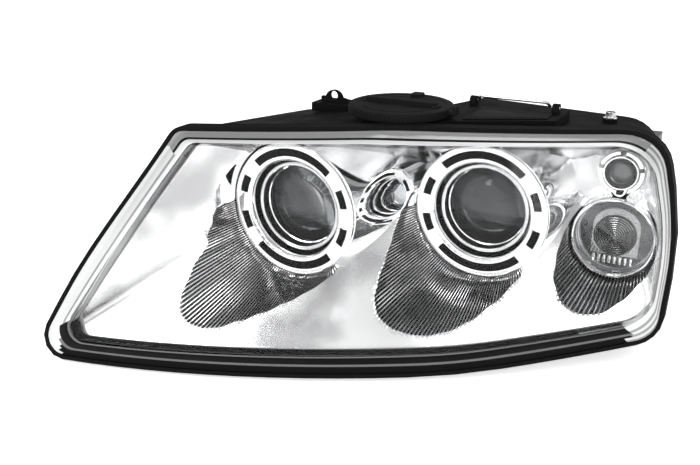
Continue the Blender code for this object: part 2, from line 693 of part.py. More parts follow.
# ------------------------------------------------------------ beam levelling
motor = block("levelling_motor", (-22, 104, -100), (22, REAR_IN - 3.3, -56), "black", bevel=2.0)
combine(motor, [turn("tmp", [(0, 90), (4.6, 90), (4.6, 142), (0, 142)], (0, 0, -76), "black", 16)], "DIFFERENCE")
ball = [(0, 46.8)] + [(5 * math.sin(math.radians(a)), 51.8 - 5 * math.cos(math.radians(a))) for a in range(20, 141, 20)]
turn("levelling_rod", ball + [(3.2, 57.5), (4.2, 62), (4.2, 132), (0, 132)], (0, 0, -76), "black", 12)
for name, x in (("aim_knob_vertical", -66), ("aim_knob_side", 40)):
    ob = turn(name, [(0, 128), (4.2, 128), (4.2, 152.4), (11, 152.4), (12, 154), (12, 168), (10, 170), (0, 170)],
              (x, 0, -84), "grey", 24)
    combine(ob, [block("tmp", (x - 1.5, 165, -92), (x + 1.5, 172, -76))], "DIFFERENCE")


# ------------------------------------------------------------ caps
def cap(name, c, axis, r, top, low, look="black", ribs=()):
    ob = turn(name, [(0, top), (r - 1.5, top), (r, top - 1.5), (r, low), (r - 3.2, low), (r - 3.2, top - 3.6), (0, top - 3.6)],
              c, look, 32, axis)
    if ribs:
        combine(ob, list(ribs), "UNION")
    return ob


cap("top_cap", (CAP_C[0], CAP_C[1], 0), "Z", 46.0, 79.8, 72.3, "grey",
    [block("tmp", (CAP_C[0] - 34, CAP_C[1] - 3, 78.5), (CAP_C[0] + 34, CAP_C[1] + 3, 84.0), bevel=0),
     prism("tmp", [(CAP_C[0] + 43, CAP_C[1] - 6), (CAP_C[0] + 53, CAP_C[1] - 3), (CAP_C[0] + 53, CAP_C[1] + 3),
                   (CAP_C[0] + 43, CAP_C[1] + 6)], "Z", 75.0, 79.5)])
turn("top_cap_seal", [(36.4, 74.3), (39.8, 74.3), (39.8, 75.9), (36.4, 75.9)], (CAP_C[0], CAP_C[1], 0), "rubber", 24, "Z")
for tag, c, y in (("inner", M1, REAR_IN), ("outer", M2, REAR_OUT)):
    cc = (c[0], y, c[2])
    cap("rear_cap_" + tag, cc, "Y", 48.0, 14.5, 3.2, "black",
        [block("tmp", (c[0] - 3.5, y + 13.5, c[2] - 36), (c[0] + 3.5, y + 22, c[2] + 36))])
    turn("rear_cap_seal_" + tag, [(40.4, 9.3), (43.8, 9.3), (43.8, 10.6), (40.4, 10.6)], cc, "rubber", 24)

# ------------------------------------------------------------ turn signal
turn("turn_ring", [(33.6, -8), (34.6, -8.6), (36.6, -6.5), (36.9, 0), (36.9, 3.0), (33.6, 3.0)], TS, "chrome", 40)
turn("turn_lens", [(0, -3.6), (12, -3.2), (24, -2.2), (33.3, -0.4), (33.3, 2.4), (0, 2.4)], TS, "glass", 32)
prof_o = [(34.0 * math.cos(math.radians(a)), 8 + 42 * math.sin(math.radians(a))) for a in range(0, 73, 18)]
prof_i = [(31.6 * math.cos(math.radians(a)), 8 + 39 * math.sin(math.radians(a))) for a in range(0, 73, 18)]
turn("turn_reflector", [(31.6, 5.2), (34.0, 5.2)] + prof_o + [(9.2, 50)] + prof_i[::-1], TS, "satin", 24)
turn("turn_bulb", [(0, 20), (5, 21.5), (7.5, 26), (7.5, 38), (6, 43), (6, 52.7), (0, 52.7)], TS, "glass", 20)
turn("turn_bulb_holder", [(0, 53), (13, 53), (13, 60), (14.2, 60), (14.2, 88.3), (17.5, 88.6), (17.5, 91), (12, 91), (12, 101), (0, 101)],
     TS, "grey", 24)

# ------------------------------------------------------------ corner lamps
insert = turn("corner_insert", [(9.0, -5), (12.4, -5), (12.4, 4.0), (19.0, 1.5), (20.0, 1.5), (20.0, 7.2), (9.0, 7.2)],
              SIDE_A, "chrome", 24)
turn("corner_lamp_lens", [(0, -4.4), (5, -3.6), (8.7, -1.4), (8.7, 2.0), (0, 2.0)], SIDE_A, "glass", 24)
combine(insert, [turn("tmp", [(0, -6), (6.0, -6), (6.0, 5.2), (0, 5.2)], SIDE_B, "chrome", 16)], "UNION")
combine(insert, [turn("tmp", [(0, -9), (4.2, -9), (4.2, 2.5), (0, 2.5)], SIDE_B, "chrome", 16)], "DIFFERENCE")
turn("small_lamp_lens", [(0, -4.8), (2.4, -4.3), (3.9, -2.8), (3.9, 0), (0, 0)], SIDE_B, "glass", 20)
turn("corner_bulb_holder", [(0, 0.5 + 2.0), (7.6, 2.5), (7.6, 7.5), (9.5, 7.5), (9.5, 26), (0, 26)], SIDE_A, "grey", 20)

# ------------------------------------------------------------ roof furniture
prism("label_plate", [(113, 90), (176, 125), (176, 143), (113, 143)], "Z", PAD_Z + 0.3, PAD_Z + 1.5, "label")
for name, x in (("bail_anchor_inner", 100), ("bail_anchor_outer", 176)):
    ob = block(name, (x - 3, 150, PAD_Z + 0.3), (x + 3, 159, PAD_Z + 8.3), "black")
    combine(ob, [turn("tmp", [(0, -5), (1.6, -5), (1.6, 5), (0, 5)], (x, 154.5, PAD_Z + 4.6), "black", 12, "X")], "DIFFERENCE")
zc = PAD_Z + 4.6
bail = [(97.0, 154.5, zc), (103.9, 154.5, zc), (105.2, 154.1, zc + 0.6), (106.4, 151.6, zc + 3.0), (108.0, 148.9, zc + 4.6),
        (112.0, 148.0, zc + 5.0), (138.0, 148.0, zc + 5.0), (164.0, 148.0, zc + 5.0), (168.0, 148.9, zc + 4.6),
        (169.6, 151.6, zc + 3.0), (170.8, 154.1, zc + 0.6), (172.1, 154.5, zc), (179.0, 154.5, zc)]
wire("wire_bail", bail, 1.3, "steel", (138.0, 154.5, zc), 8)
ob = prism("loop_bracket", [(-46, 64.8), (-14, 64.8), (-14, 68), (-19, 77), (-41, 77), (-46, 70)], "Y", 126, 130, "black")
combine(ob, [turn("tmp", [(0, 120), (4.2, 120), (4.2, 135), (0, 135)], (-32, 0, 71.6), "black", 20)], "DIFFERENCE")
turn("roof_bush", [(2.6, 63.3), (6.2, 63.3), (6.2, 64.5), (4.4, 65.3), (4.4, 69.5), (2.6, 69.5)], (216, 190, 0), "steel", 20, "Z")

# ------------------------------------------------------------ rear furniture
bx0, bx1, bz0, bz1 = 98.0, 190.0, -98.0, -55.0
block("ballast_box", (bx0 + 8, REAR_OUT + 0.3, bz0), (bx1 - 8, REAR_OUT + 25, bz1), "alu", bevel=2.0)
tray = block("ballast_tray", (bx0 - 2, REAR_OUT + 0.3, bz0 + 8), (bx0 + 7.7, REAR_OUT + 3.3, bz1 - 8), "steel")
block("ballast_tray_outer", (bx1 - 7.7, REAR_OUT + 0.3, bz0 + 8), (bx1 + 2, REAR_OUT + 3.3, bz1 - 8), "steel")
for i, (x, z) in enumerate(((bx0 + 2.5, bz0 + 14), (bx0 + 2.5, bz1 - 14), (bx1 - 2.5, bz0 + 14), (bx1 - 2.5, bz1 - 14))):
    turn("ballast_screw_%d" % (i + 1), [(0, 3.6), (3.4, 3.6), (3.4, 6.4), (2.4, 7.2), (0, 7.2)], (x, REAR_OUT, z), "steel", 12)
sock = block("connector_socket", (222, REAR_OUT + 0.3, 18), (254, REAR_OUT + 24, 42), "grey")
combine(sock, [block("tmp", (225, REAR_OUT + 6, 21), (251, REAR_OUT + 30, 39))], "DIFFERENCE")
turn("breather_cap", [(0, 0.3), (8, 0.3), (8, 3), (10, 3), (10, 11), (8.5, 12.5), (0, 12.5)], (236, REAR_OUT, -74), "rubber", 24)

# ------------------------------------------------------------ rails and feet
block("slide_rail_inner", (-64, -16, GROUND), (-36, 136, -121.0), "grey")
block("slide_rail_outer", (188, 100, GROUND), (216, 212, -121.0), "grey")
block("front_foot", (56, -20, GROUND), (88, 4, -121.0), "rubber")
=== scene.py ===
"""Looks for the car headlight assembly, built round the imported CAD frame."""
import bpy
import bmesh
import math
from mathutils import Vector, Matrix
from mathutils.geometry import delaunay_2d_cdt


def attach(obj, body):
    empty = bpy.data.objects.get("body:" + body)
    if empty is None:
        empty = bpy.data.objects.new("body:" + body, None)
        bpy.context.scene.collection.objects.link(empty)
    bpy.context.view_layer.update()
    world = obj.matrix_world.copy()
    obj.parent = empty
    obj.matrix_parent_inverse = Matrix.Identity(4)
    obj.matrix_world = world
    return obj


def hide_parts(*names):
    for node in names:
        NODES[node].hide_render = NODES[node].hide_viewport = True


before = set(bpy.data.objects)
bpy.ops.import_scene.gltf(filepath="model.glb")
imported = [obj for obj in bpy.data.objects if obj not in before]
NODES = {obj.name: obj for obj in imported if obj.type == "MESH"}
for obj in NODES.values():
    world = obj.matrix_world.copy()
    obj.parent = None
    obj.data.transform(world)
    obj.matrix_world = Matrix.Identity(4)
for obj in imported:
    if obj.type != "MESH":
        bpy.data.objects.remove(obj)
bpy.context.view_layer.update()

# ---------------------------------------------------------------- dimensions
# millimetres from the centre of the inner trim ring, as in the CAD source
OX, OY, GROUND = 57.6, 62.9, -126.0
M1, M2 = (0.0, 0.0, 0.0), (140.0, 75.0, -2.0)
TS = (240.0, 142.0, -29.0)
SIDE_A, SIDE_B = (240.0, 141.0, 30.0), (240.0, 143.0, 14.6)
R_HOLE, R_TURN, R_SIDE_A, R_SIDE_B = 58.6, 37.2, 20.4, 9.2
REAR_IN, REAR_OUT = 152.0, 230.0
CAP_C, PAD_Z = (56.0, 90.0), 71.0
FLANGE = [(-94, 65.0, 9), (75, 69.5, 500), (265, 61.5, 42), (290, -20, 240),
          (289, -102, 16), (150, -118.5, 600), (-185, -121, 17)]
FRONT = [(-66, 61.5, 9), (60, 63.5, 400), (262, 57.2, 40), (284, -18, 220),
         (284, -85, 24), (150, -99.5, 500), (-158, -103, 15)]
SIDE_N = [18, 21, 9, 9, 15, 33, 21]
ARC_N = [12, 6, 18, 6, 12, 6, 12]


def W(x, y, z):
    return Vector(((x - OX) / 1000, (y - OY) / 1000, (z - GROUND) / 1000))


def lens_y(x, z):
    return -50 + 0.43 * x + 0.00072 * x * x + 0.33 * z + 0.0006 * (z + 30) ** 2


def wall_depth(z):
    s = min(1.0, max(0.0, (z + 60) / 120.0))
    return 12 + 16 * s * s * (3 - 2 * s)


def rim_y(x, z):
    return lens_y(x, z) + wall_depth(z)


def rounded(corners):
    n, arcs = len(corners), []
    for i, (cx, cz, r) in enumerate(corners):
        p = Vector((cx, cz))
        a, b = Vector(corners[i - 1][:2]) - p, Vector(corners[(i + 1) % n][:2]) - p
        la, lb = a.length, b.length
        a.normalize()
        b.normalize()
        half = math.acos(max(-1, min(1, a.dot(b)))) / 2
        t = min(r / math.tan(half), 0.45 * la, 0.45 * lb)
        r = t * math.tan(half)
        c = p + (a + b).normalized() * (r / math.sin(half))
        s, e = p + a * t - c, p + b * t - c
        ang = s.angle_signed(e)
        arcs.append([c + Vector((s.x * math.cos(-ang * k / ARC_N[i]) - s.y * math.sin(-ang * k / ARC_N[i]),
                                 s.x * math.sin(-ang * k / ARC_N[i]) + s.y * math.cos(-ang * k / ARC_N[i])))
                     for k in range(ARC_N[i] + 1)])
    loop = []
    for i in range(n):
        loop += arcs[i]
        s, e = arcs[i][-1], arcs[(i + 1) % n][0]
        loop += [s.lerp(e, k / SIDE_N[i]) for k in range(1, SIDE_N[i])]
    return loop


def shrunk(corners, d):
    """Rounded loop of an outline drawn d inside the given corners."""
    out = []
    for i, (cx, cz, r) in enumerate(corners):
        p = Vector((cx, cz))
        a = (p - Vector(corners[i - 1][:2])).normalized()
        b = (Vector(corners[(i + 1) % len(corners)][:2]) - p).normalized()
        na, nb = Vector((a.y, -a.x)), Vector((b.y, -b.x))
        q = p + (na + nb) * (d / (1 + na.dot(nb)))
        out.append((q.x, q.y, max(1.5, r - d)))
    return rounded(out)


def smin(a, b, k):
    h = max(0.0, k - abs(a - b)) / k
    return min(a, b) - h * h * k * 0.25


def line_dist(x, z, p, q):
    dx, dz = q[0] - p[0], q[1] - p[1]
    n = math.hypot(dx, dz)
    return ((x - p[0]) * dz - (z - p[1]) * dx) / n


def table(t, v):
    """Smooth value between table rows [(key, value), ...]."""
    for (a, p), (b, q) in zip(t, t[1:]):
        if v <= b:
            s = (v - a) / (b - a)
            s = s * s * (3 - 2 * s)
            return p + (q - p) * s
    return t[-1][1]


# ---------------------------------------------------------------- materials
def node_mat(name, base, rough=0.4, metal=0.0, var=0.08, grain=900.0, bump=0.05, rvar=0.15, wear=0.0,
             scratch=0.0, coat=0.0, alpha=1.0, spec=0.5, ior=1.5, spots=0.0, streak=None):
    """Principled material with procedural colour and roughness variation, grain and edge wear."""
    m = bpy.data.materials.new(name)
    m.use_nodes = True
    nt = m.node_tree
    b = nt.nodes["Principled BSDF"]
    b.inputs["Metallic"].default_value = metal
    b.inputs["Specular IOR Level"].default_value = spec
    b.inputs["IOR"].default_value = ior
    b.inputs["Coat Weight"].default_value = coat
    b.inputs["Coat Roughness"].default_value = 0.06
    b.inputs["Alpha"].default_value = alpha
    L = nt.links.new
    tc = nt.nodes.new("ShaderNodeTexCoord")
    big = nt.nodes.new("ShaderNodeTexNoise")
    big.inputs["Scale"].default_value = 28.0
    big.inputs["Detail"].default_value = 4.0
    fine = nt.nodes.new("ShaderNodeTexNoise")
    fine.inputs["Scale"].default_value = grain
    fine.inputs["Detail"].default_value = 3.0
    src = tc.outputs["Object"]
    L(src, big.inputs["Vector"])
    if streak:
        mp = nt.nodes.new("ShaderNodeMapping")
        mp.inputs["Scale"].default_value = streak
        L(src, mp.inputs["Vector"])
        L(mp.outputs["Vector"], fine.inputs["Vector"])
    else:
        L(src, fine.inputs["Vector"])
    # colour
    mixc = nt.nodes.new("ShaderNodeMix")
    mixc.data_type = "RGBA"
    lo = [max(0.0, c * (1 - var)) for c in base]
    hi = [min(1.0, c * (1 + var)) for c in base]
    mixc.inputs["A"].default_value = (*lo, 1)
    mixc.inputs["B"].default_value = (*hi, 1)
    L(big.outputs["Fac"], mixc.inputs["Factor"])
    col = mixc.outputs["Result"]
    mixg = nt.nodes.new("ShaderNodeMix")
    mixg.data_type = "RGBA"
    mixg.blend_type = "MULTIPLY"
    mixg.inputs["Factor"].default_value = min(1.0, var * 1.5)
    L(col, mixg.inputs["A"])
    L(fine.outputs["Fac"], mixg.inputs["B"])
    col = mixg.outputs["Result"]
    # roughness
    mr = nt.nodes.new("ShaderNodeMapRange")
    mr.inputs["From Min"].default_value = 0.3
    mr.inputs["From Max"].default_value = 0.7
    mr.inputs["To Min"].default_value = max(0.01, rough * (1 - rvar))
    mr.inputs["To Max"].default_value = min(1.0, rough * (1 + rvar))
    L(big.outputs["Fac"], mr.inputs["Value"])
    rg = mr.outputs["Result"]
    if wear:
        geo = nt.nodes.new("ShaderNodeNewGeometry")
        wr = nt.nodes.new("ShaderNodeMapRange")
        wr.inputs["From Min"].default_value = 0.53
        wr.inputs["From Max"].default_value = 0.62
        wr.inputs["To Max"].default_value = wear
        L(geo.outputs["Pointiness"], wr.inputs["Value"])
        wm = nt.nodes.new("ShaderNodeMix")
        wm.data_type = "RGBA"
        wm.inputs["B"].default_value = (*[min(1.0, c * 1.5 + 0.12) for c in base], 1)
        L(wr.outputs["Result"], wm.inputs["Factor"])
        L(col, wm.inputs["A"])
        col = wm.outputs["Result"]
    if spots:
        vo = nt.nodes.new("ShaderNodeTexNoise")
        vo.inputs["Scale"].default_value = 2600.0
        vo.inputs["Detail"].default_value = 1.0
        L(src, vo.inputs["Vector"])
        sr = nt.nodes.new("ShaderNodeMapRange")
        sr.inputs["From Min"].default_value = 0.66
        sr.inputs["From Max"].default_value = 0.72
        sr.inputs["To Max"].default_value = spots
        L(vo.outputs["Fac"], sr.inputs["Value"])
        sm = nt.nodes.new("ShaderNodeMix")
        sm.data_type = "RGBA"
        sm.inputs["B"].default_value = (0.35, 0.35, 0.35, 1)
        L(sr.outputs["Result"], sm.inputs["Factor"])
        L(col, sm.inputs["A"])
        col = sm.outputs["Result"]
    L(col, b.inputs["Base Color"])
    L(rg, b.inputs["Roughness"])
    bp = nt.nodes.new("ShaderNodeBump")
    bp.inputs["Strength"].default_value = min(1.0, bump)
    bp.inputs["Distance"].default_value = 0.0002
    L(fine.outputs["Fac"], bp.inputs["Height"])
    L(bp.outputs["Normal"], b.inputs["Normal"])
    return m


def clear_mat(name, tint, face, edge, rough=0.02, bump=0.0):
    """Clear moulding: mirror reflection weighted by Fresnel through alpha, over full transparency."""
    m = node_mat(name, tint, rough, 1.0, var=0.01, grain=60.0, bump=bump, rvar=0.3)
    nt = m.node_tree
    b = nt.nodes["Principled BSDF"]
    fr = nt.nodes.new("ShaderNodeFresnel")
    fr.inputs["IOR"].default_value = 1.5
    mr = nt.nodes.new("ShaderNodeMapRange")
    mr.inputs["From Min"].default_value = 0.09
    mr.inputs["From Max"].default_value = 0.85
    mr.inputs["To Min"].default_value = face
    mr.inputs["To Max"].default_value = edge
    nt.links.new(fr.outputs["Fac"], mr.inputs["Value"])
    nt.links.new(mr.outputs["Result"], b.inputs["Alpha"])
    return m


MAT = {
    "chrome": node_mat("bezel_chrome", (0.93, 0.932, 0.935), 0.19, 1.0, 0.012, 240, 0.012, 0.30),
    "wall": node_mat("tube_mirror", (0.91, 0.915, 0.92), 0.035, 1.0, 0.01, 240, 0.006, 0.3),
    "flute": node_mat("flute_chrome", (0.88, 0.882, 0.885), 0.12, 1.0, 0.03, 700, 0.03, 0.3),
    "ring": node_mat("ring_chrome", (0.94, 0.94, 0.945), 0.09, 1.0, 0.012, 400, 0.015, 0.3),
    "black": node_mat("housing_black", (0.0045, 0.0045, 0.005), 0.66, 0.0, 0.2, 1500, 0.18, 0.15, wear=0.02, spots=0.012, spec=0.05),
    "black2": node_mat("gloss_black", (0.004, 0.004, 0.0045), 0.3, 0.0, 0.3, 900, 0.06, 0.3, spec=0.12),
    # dark parts, also used as painted shade behind the projector glass and on the Fresnel rings
    "dark": node_mat("dark_parts_and_painted_shade", (0.003, 0.003, 0.003), 0.6, 0.0, 0.3, 900, 0.1, 0.2, spec=0.1),
    "grey": node_mat("moulded_grey", (0.075, 0.076, 0.08), 0.5, 0.0, 0.18, 1300, 0.2, 0.2, wear=0.08),
    "cap": node_mat("cap_grey", (0.009, 0.009, 0.0095), 0.66, 0.0, 0.2, 1700, 0.2, 0.15, wear=0.03, spots=0.015, spec=0.06),
    "rubber": node_mat("rubber_black", (0.006, 0.006, 0.006), 0.78, 0.0, 0.3, 1100, 0.35, 0.12, spots=0.02, spec=0.2),
    "satin": node_mat("satin_metal", (0.72, 0.725, 0.73), 0.2, 1.0, 0.05, 600, 0.05, 0.3),
    "alu": node_mat("cast_alloy", (0.58, 0.585, 0.6), 0.42, 1.0, 0.1, 800, 0.4, 0.25, wear=0.1),
    "steel": node_mat("zinc_steel", (0.62, 0.62, 0.61), 0.28, 1.0, 0.08, 500, 0.12, 0.3, streak=(1, 1, 14)),
    "label": node_mat("label_blank", (0.007, 0.007, 0.0075), 0.6, 0.0, 0.25, 500, 0.08, 0.2, spec=0.06),
    # painted edge light and shade for the bezel skirt
    "greyband": node_mat("skirt_painted_edge_light", (0.42, 0.42, 0.425), 0.3, 0.55, 0.05, 600, 0.04, 0.3),
    "brass": node_mat("contact_metal", (0.70, 0.62, 0.42), 0.3, 1.0, 0.08, 600, 0.08, 0.3),
    "white": node_mat("lip_white", (0.86, 0.865, 0.87), 0.2, 0.6, 0.02, 500, 0.02, 0.3),
}
MAT["cover"] = clear_mat("cover_clear", (0.96, 0.97, 0.98), 0.010, 0.42, 0.018)
MAT["glass"] = clear_mat("lamp_glass", (0.92, 0.93, 0.94), 0.07, 0.8, 0.03)
MAT["smoke"] = node_mat("turn_cover_smoke", (0.34, 0.345, 0.35), 0.12, 0.0, 0.15, 300, 0.03, 0.3, alpha=0.5, spec=0.5)
# painted bands for the side walls and foot of the clear cover: painted highlights and reflections, and black for the
# dark housing and its shade seen through
MAT["bandmid"] = node_mat("cover_side_painted_reflection", (0.30, 0.302, 0.305), 0.14, 0.0, 0.08, 200, 0.02, 0.3, alpha=0.85, spec=0.4)
MAT["band"] = node_mat("cover_side_painted_highlight", (0.80, 0.805, 0.81), 0.12, 0.0, 0.06, 200, 0.02, 0.3, alpha=0.72, spec=0.4)
MAT["bandblack"] = node_mat("cover_foot_black", (0.003, 0.003, 0.003), 0.5, 0.0, 0.2, 200, 0.02, 0.2, spec=0.05)
MAT["bandgrey"] = node_mat("cover_foot_painted_highlight_line", (0.12, 0.12, 0.123), 0.3, 0.0, 0.1, 200, 0.02, 0.3, spec=0.15)
MAT["facet"] = node_mat("facet_metal", (0.40, 0.402, 0.405), 0.08, 1.0, 0.05, 300, 0.02, 0.3)
MAT["projector"] = clear_mat("projector_glass", (0.85, 0.88, 0.9), 0.03, 0.5, 0.02)
MAT["bulb"] = clear_mat("bulb_glass", (0.95, 0.95, 0.95), 0.15, 0.8, 0.03)


def painted_image_mat():
    """Rear face of the projector glass, painted with the inverted picture of the bowl above and the shutter below: grey
    above, painted shade in black below.
    """
    m = node_mat("projector_painted_image", (0.045, 0.046, 0.048), 0.3, 0.0, 0.25, 120, 0.02, 0.2, spec=0.3)
    nt = m.node_tree
    b = nt.nodes["Principled BSDF"]
    src = b.inputs["Base Color"].links[0].from_socket
    tc = nt.nodes.new("ShaderNodeTexCoord")
    sp = nt.nodes.new("ShaderNodeSeparateXYZ")
    nt.links.new(tc.outputs["Object"], sp.inputs["Vector"])
    # painted shade: black below this height
    mr = nt.nodes.new("ShaderNodeMapRange")
    mr.inputs["From Min"].default_value = 0.1128
    mr.inputs["From Max"].default_value = 0.1150
    nt.links.new(sp.outputs["Z"], mr.inputs["Value"])
    mx = nt.nodes.new("ShaderNodeMix")
    mx.data_type = "RGBA"
    mx.inputs["A"].default_value = (0.004, 0.004, 0.004, 1)
    nt.links.new(mr.outputs["Result"], mx.inputs["Factor"])
    nt.links.new(src, mx.inputs["B"])
    nt.links.new(mx.outputs["Result"], b.inputs["Base Color"])
    return m


MAT["image"] = painted_image_mat()


def paint_flute_light_and_shade(m):
    """Painted highlight on the crests of the flutes and painted shade in the valleys, from the height stored on the
    mesh.
    """
    nt = m.node_tree
    b = nt.nodes["Principled BSDF"]
    src = b.inputs["Base Color"].links[0].from_socket
    at = nt.nodes.new("ShaderNodeAttribute")
    at.attribute_name = "crest"
    mr = nt.nodes.new("ShaderNodeMapRange")
    mr.inputs["From Min"].default_value = 0.22
    mr.inputs["From Max"].default_value = 0.95
    nt.links.new(at.outputs["Fac"], mr.inputs["Value"])
    mx = nt.nodes.new("ShaderNodeMix")
    mx.data_type = "RGBA"
    mx.inputs["A"].default_value = (0.025, 0.0252, 0.026, 1)
    nt.links.new(mr.outputs["Result"], mx.inputs["Factor"])
    nt.links.new(src, mx.inputs["B"])
    nt.links.new(mx.outputs["Result"], b.inputs["Base Color"])


# painted highlights and shade on the fluted walls
paint_flute_light_and_shade(MAT["flute"])


def paint_reflection_blotches(m, low, a, z):
    """Soft broad grey blotches on the metallised face: painted reflection of dark surroundings."""
    nt = m.node_tree
    b = nt.nodes["Principled BSDF"]
    src = b.inputs["Base Color"].links[0].from_socket
    tc = nt.nodes.new("ShaderNodeTexCoord")
    no = nt.nodes.new("ShaderNodeTexNoise")
    no.inputs["Scale"].default_value = 17.0
    no.inputs["Detail"].default_value = 1.5
    nt.links.new(tc.outputs["Object"], no.inputs["Vector"])
    mr = nt.nodes.new("ShaderNodeMapRange")
    mr.interpolation_type = "SMOOTHSTEP"
    mr.inputs["From Min"].default_value = a
    mr.inputs["From Max"].default_value = z
    nt.links.new(no.outputs["Fac"], mr.inputs["Value"])
    mx = nt.nodes.new("ShaderNodeMix")
    mx.data_type = "RGBA"
    mx.inputs["A"].default_value = (low, low, low * 1.01, 1)
    nt.links.new(mr.outputs["Result"], mx.inputs["Factor"])
    nt.links.new(src, mx.inputs["B"])
    nt.links.new(mx.outputs["Result"], b.inputs["Base Color"])


# painted reflection: grey blotches painted into the bezel chrome
paint_reflection_blotches(MAT["chrome"], 0.55, 0.36, 0.56)


# ---------------------------------------------------------------- mesh tools
def piece(name, verts, faces, mat, body, slot=None, replaces=(), sharp=34, bevel=0.0, seg=2, fmats=None, weld=1e-6,
          solid=0.0, flip=False, normals=True, crest=None):
    me = bpy.data.meshes.new(name)
    me.from_pydata([W(*v) for v in verts], [], faces)
    if crest:
        at = me.attributes.new("crest", "FLOAT", "POINT")
        at.data.foreach_set("value", crest + [1.0] * (len(me.vertices) - len(crest)))
    mats = [mat] if isinstance(mat, str) else list(mat)
    for k in mats:
        me.materials.append(MAT[k])
    if fmats:
        for p, i in zip(me.polygons, fmats):
            p.material_index = i
    bm = bmesh.new()
    bm.from_mesh(me)
    if weld:
        bmesh.ops.remove_doubles(bm, verts=bm.verts, dist=weld)
        bmesh.ops.dissolve_degenerate(bm, edges=bm.edges, dist=weld)
    if normals:
        bmesh.ops.recalc_face_normals(bm, faces=bm.faces)
        if not solid and bm.calc_volume(signed=True) < 0:
            bmesh.ops.reverse_faces(bm, faces=bm.faces)
    if flip:
        bmesh.ops.reverse_faces(bm, faces=bm.faces)
    bm.to_mesh(me)
    bm.free()
    me.shade_smooth()
    me.set_sharp_from_angle(angle=math.radians(sharp))
    ob = bpy.data.objects.new(name, me)
    bpy.context.scene.collection.objects.link(ob)
    if solid:
        s = ob.modifiers.new("thick", "SOLIDIFY")
        s.thickness = solid / 1000
        s.offset = -1
        s.use_even_offset = False
    if bevel:
        b = ob.modifiers.new("edge", "BEVEL")
        b.width = bevel / 1000
        b.segments = seg
        b.limit_method = "ANGLE"
        b.angle_limit = math.radians(35)
        b.harden_normals = False
    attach(ob, body)
    if replaces:
        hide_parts(*replaces)
    return ob


def spin(profile, c, seg=96, axis="Y", wob=None, a0=0.0, a1=360.0, closed=True):
    """Lathe points and faces. wob(r, a, q) gives (dr, da). Partial sweeps are capped when the profile is closed."""
    full = abs(a1 - a0 - 360) < 1e-6
    n = seg if full else seg + 1
    V, F, rows = [], [], []
    for i, (r, a) in enumerate(profile):
        one = r < 1e-6
        row = []
        for k in range(1 if one else n):
            q = math.radians(a0 + (a1 - a0) * k / seg)
            dr, da = wob(r, a, q) if wob else (0, 0)
            u, v, w = (r + dr) * math.cos(q), (r + dr) * math.sin(q), a + da
            row.append(len(V))
            V.append((c[0] + u, c[1] + w, c[2] + v) if axis == "Y" else
                     (c[0] + u, c[1] + v, c[2] + w) if axis == "Z" else (c[0] + w, c[1] + u, c[2] + v))
        rows.append(row)
    m = len(profile)
    for i in range(m if closed else m - 1):
        A, B = rows[i], rows[(i + 1) % m]
        for k in range(seg):
            l = (k + 1) % n
            if len(A) == 1 and len(B) == 1:
                continue
            if len(A) == 1:
                F.append((A[0], B[l], B[k]))
            elif len(B) == 1:
                F.append((A[k], A[l], B[0]))
            else:
                F.append((A[k], A[l], B[l], B[k]))
    if not full and closed:
        F.append(tuple(r[0] for r in rows))
        F.append(tuple(r[-1] for r in rows)[::-1])
    return V, F


def lathe(name, profile, c, mat, body, seg=96, axis="Y", wob=None, a0=0.0, a1=360.0, **kw):
    V, F = spin(profile, c, seg, axis, wob, a0, a1)
    return piece(name, V, F, mat, body, **kw)


def boxes(name, items, mat, body, bevel=0.5, **kw):
    """Several boxes [(lo, hi), ...] in one piece with rounded edges."""
    V, F = [], []
    for lo, hi in items:
        s = len(V)
        V += [(x, y, z) for x in (lo[0], hi[0]) for y in (lo[1], hi[1]) for z in (lo[2], hi[2])]
        F += [tuple(s + i for i in f) for f in ((0, 1, 3, 2), (4, 6, 7, 5), (0, 4, 5, 1), (2, 3, 7, 6), (0, 2, 6, 4), (1, 5, 7, 3))]
    return piece(name, V, F, mat, body, bevel=bevel, seg=3, weld=0, **kw)


def prism(name, poly, axis, lo, hi, mat, body, bevel=0.4, **kw):
    n, V = len(poly), []
    for a in (lo, hi):
        for u, v in poly:
            V.append({"X": (a, u, v), "Y": (u, a, v), "Z": (u, v, a)}[axis])
    F = [tuple(range(n))[::-1], tuple(range(n, 2 * n))]
    F += [(k, (k + 1) % n, n + (k + 1) % n, n + k) for k in range(n)]
    return piece(name, V, F, mat, body, bevel=bevel, seg=3, **kw)


def rod(name, pts, r, mat, body, seg=20, smooth=6, **kw):
    """Round bar through points with rounded bends (Catmull-Rom), closed ends."""
    P = [Vector(p) for p in pts]
    Q = []
    for i in range(len(P) - 1):
        p0, p1, p2, p3 = P[max(i - 1, 0)], P[i], P[i + 1], P[min(i + 2, len(P) - 1)]
        for k in range(smooth):
            t = k / smooth
            Q.append(0.5 * ((2 * p1) + (p2 - p0) * t + (2 * p0 - 5 * p1 + 4 * p2 - p3) * t * t
                            + (3 * p1 - p0 - 3 * p2 + p3) * t ** 3))
    Q.append(P[-1])
    V, F, up = [], [], None
    for i, p in enumerate(Q):
        d = (Q[min(i + 1, len(Q) - 1)] - Q[max(i - 1, 0)]).normalized()
        up = d.orthogonal().normalized() if up is None else (up - d * up.dot(d)).normalized()
        sd = d.cross(up)
        for k in range(seg):
            a = 2 * math.pi * k / seg
            V.append(tuple(p + up * (r * math.cos(a)) + sd * (r * math.sin(a))))
    for i in range(len(Q) - 1):
        for k in range(seg):
            l = (k + 1) % seg
            F.append((i * seg + k, i * seg + l, (i + 1) * seg + l, (i + 1) * seg + k))
    F += [tuple(range(seg))[::-1], tuple(range((len(Q) - 1) * seg, len(Q) * seg))]
    return piece(name, V, F, mat, body, **kw)


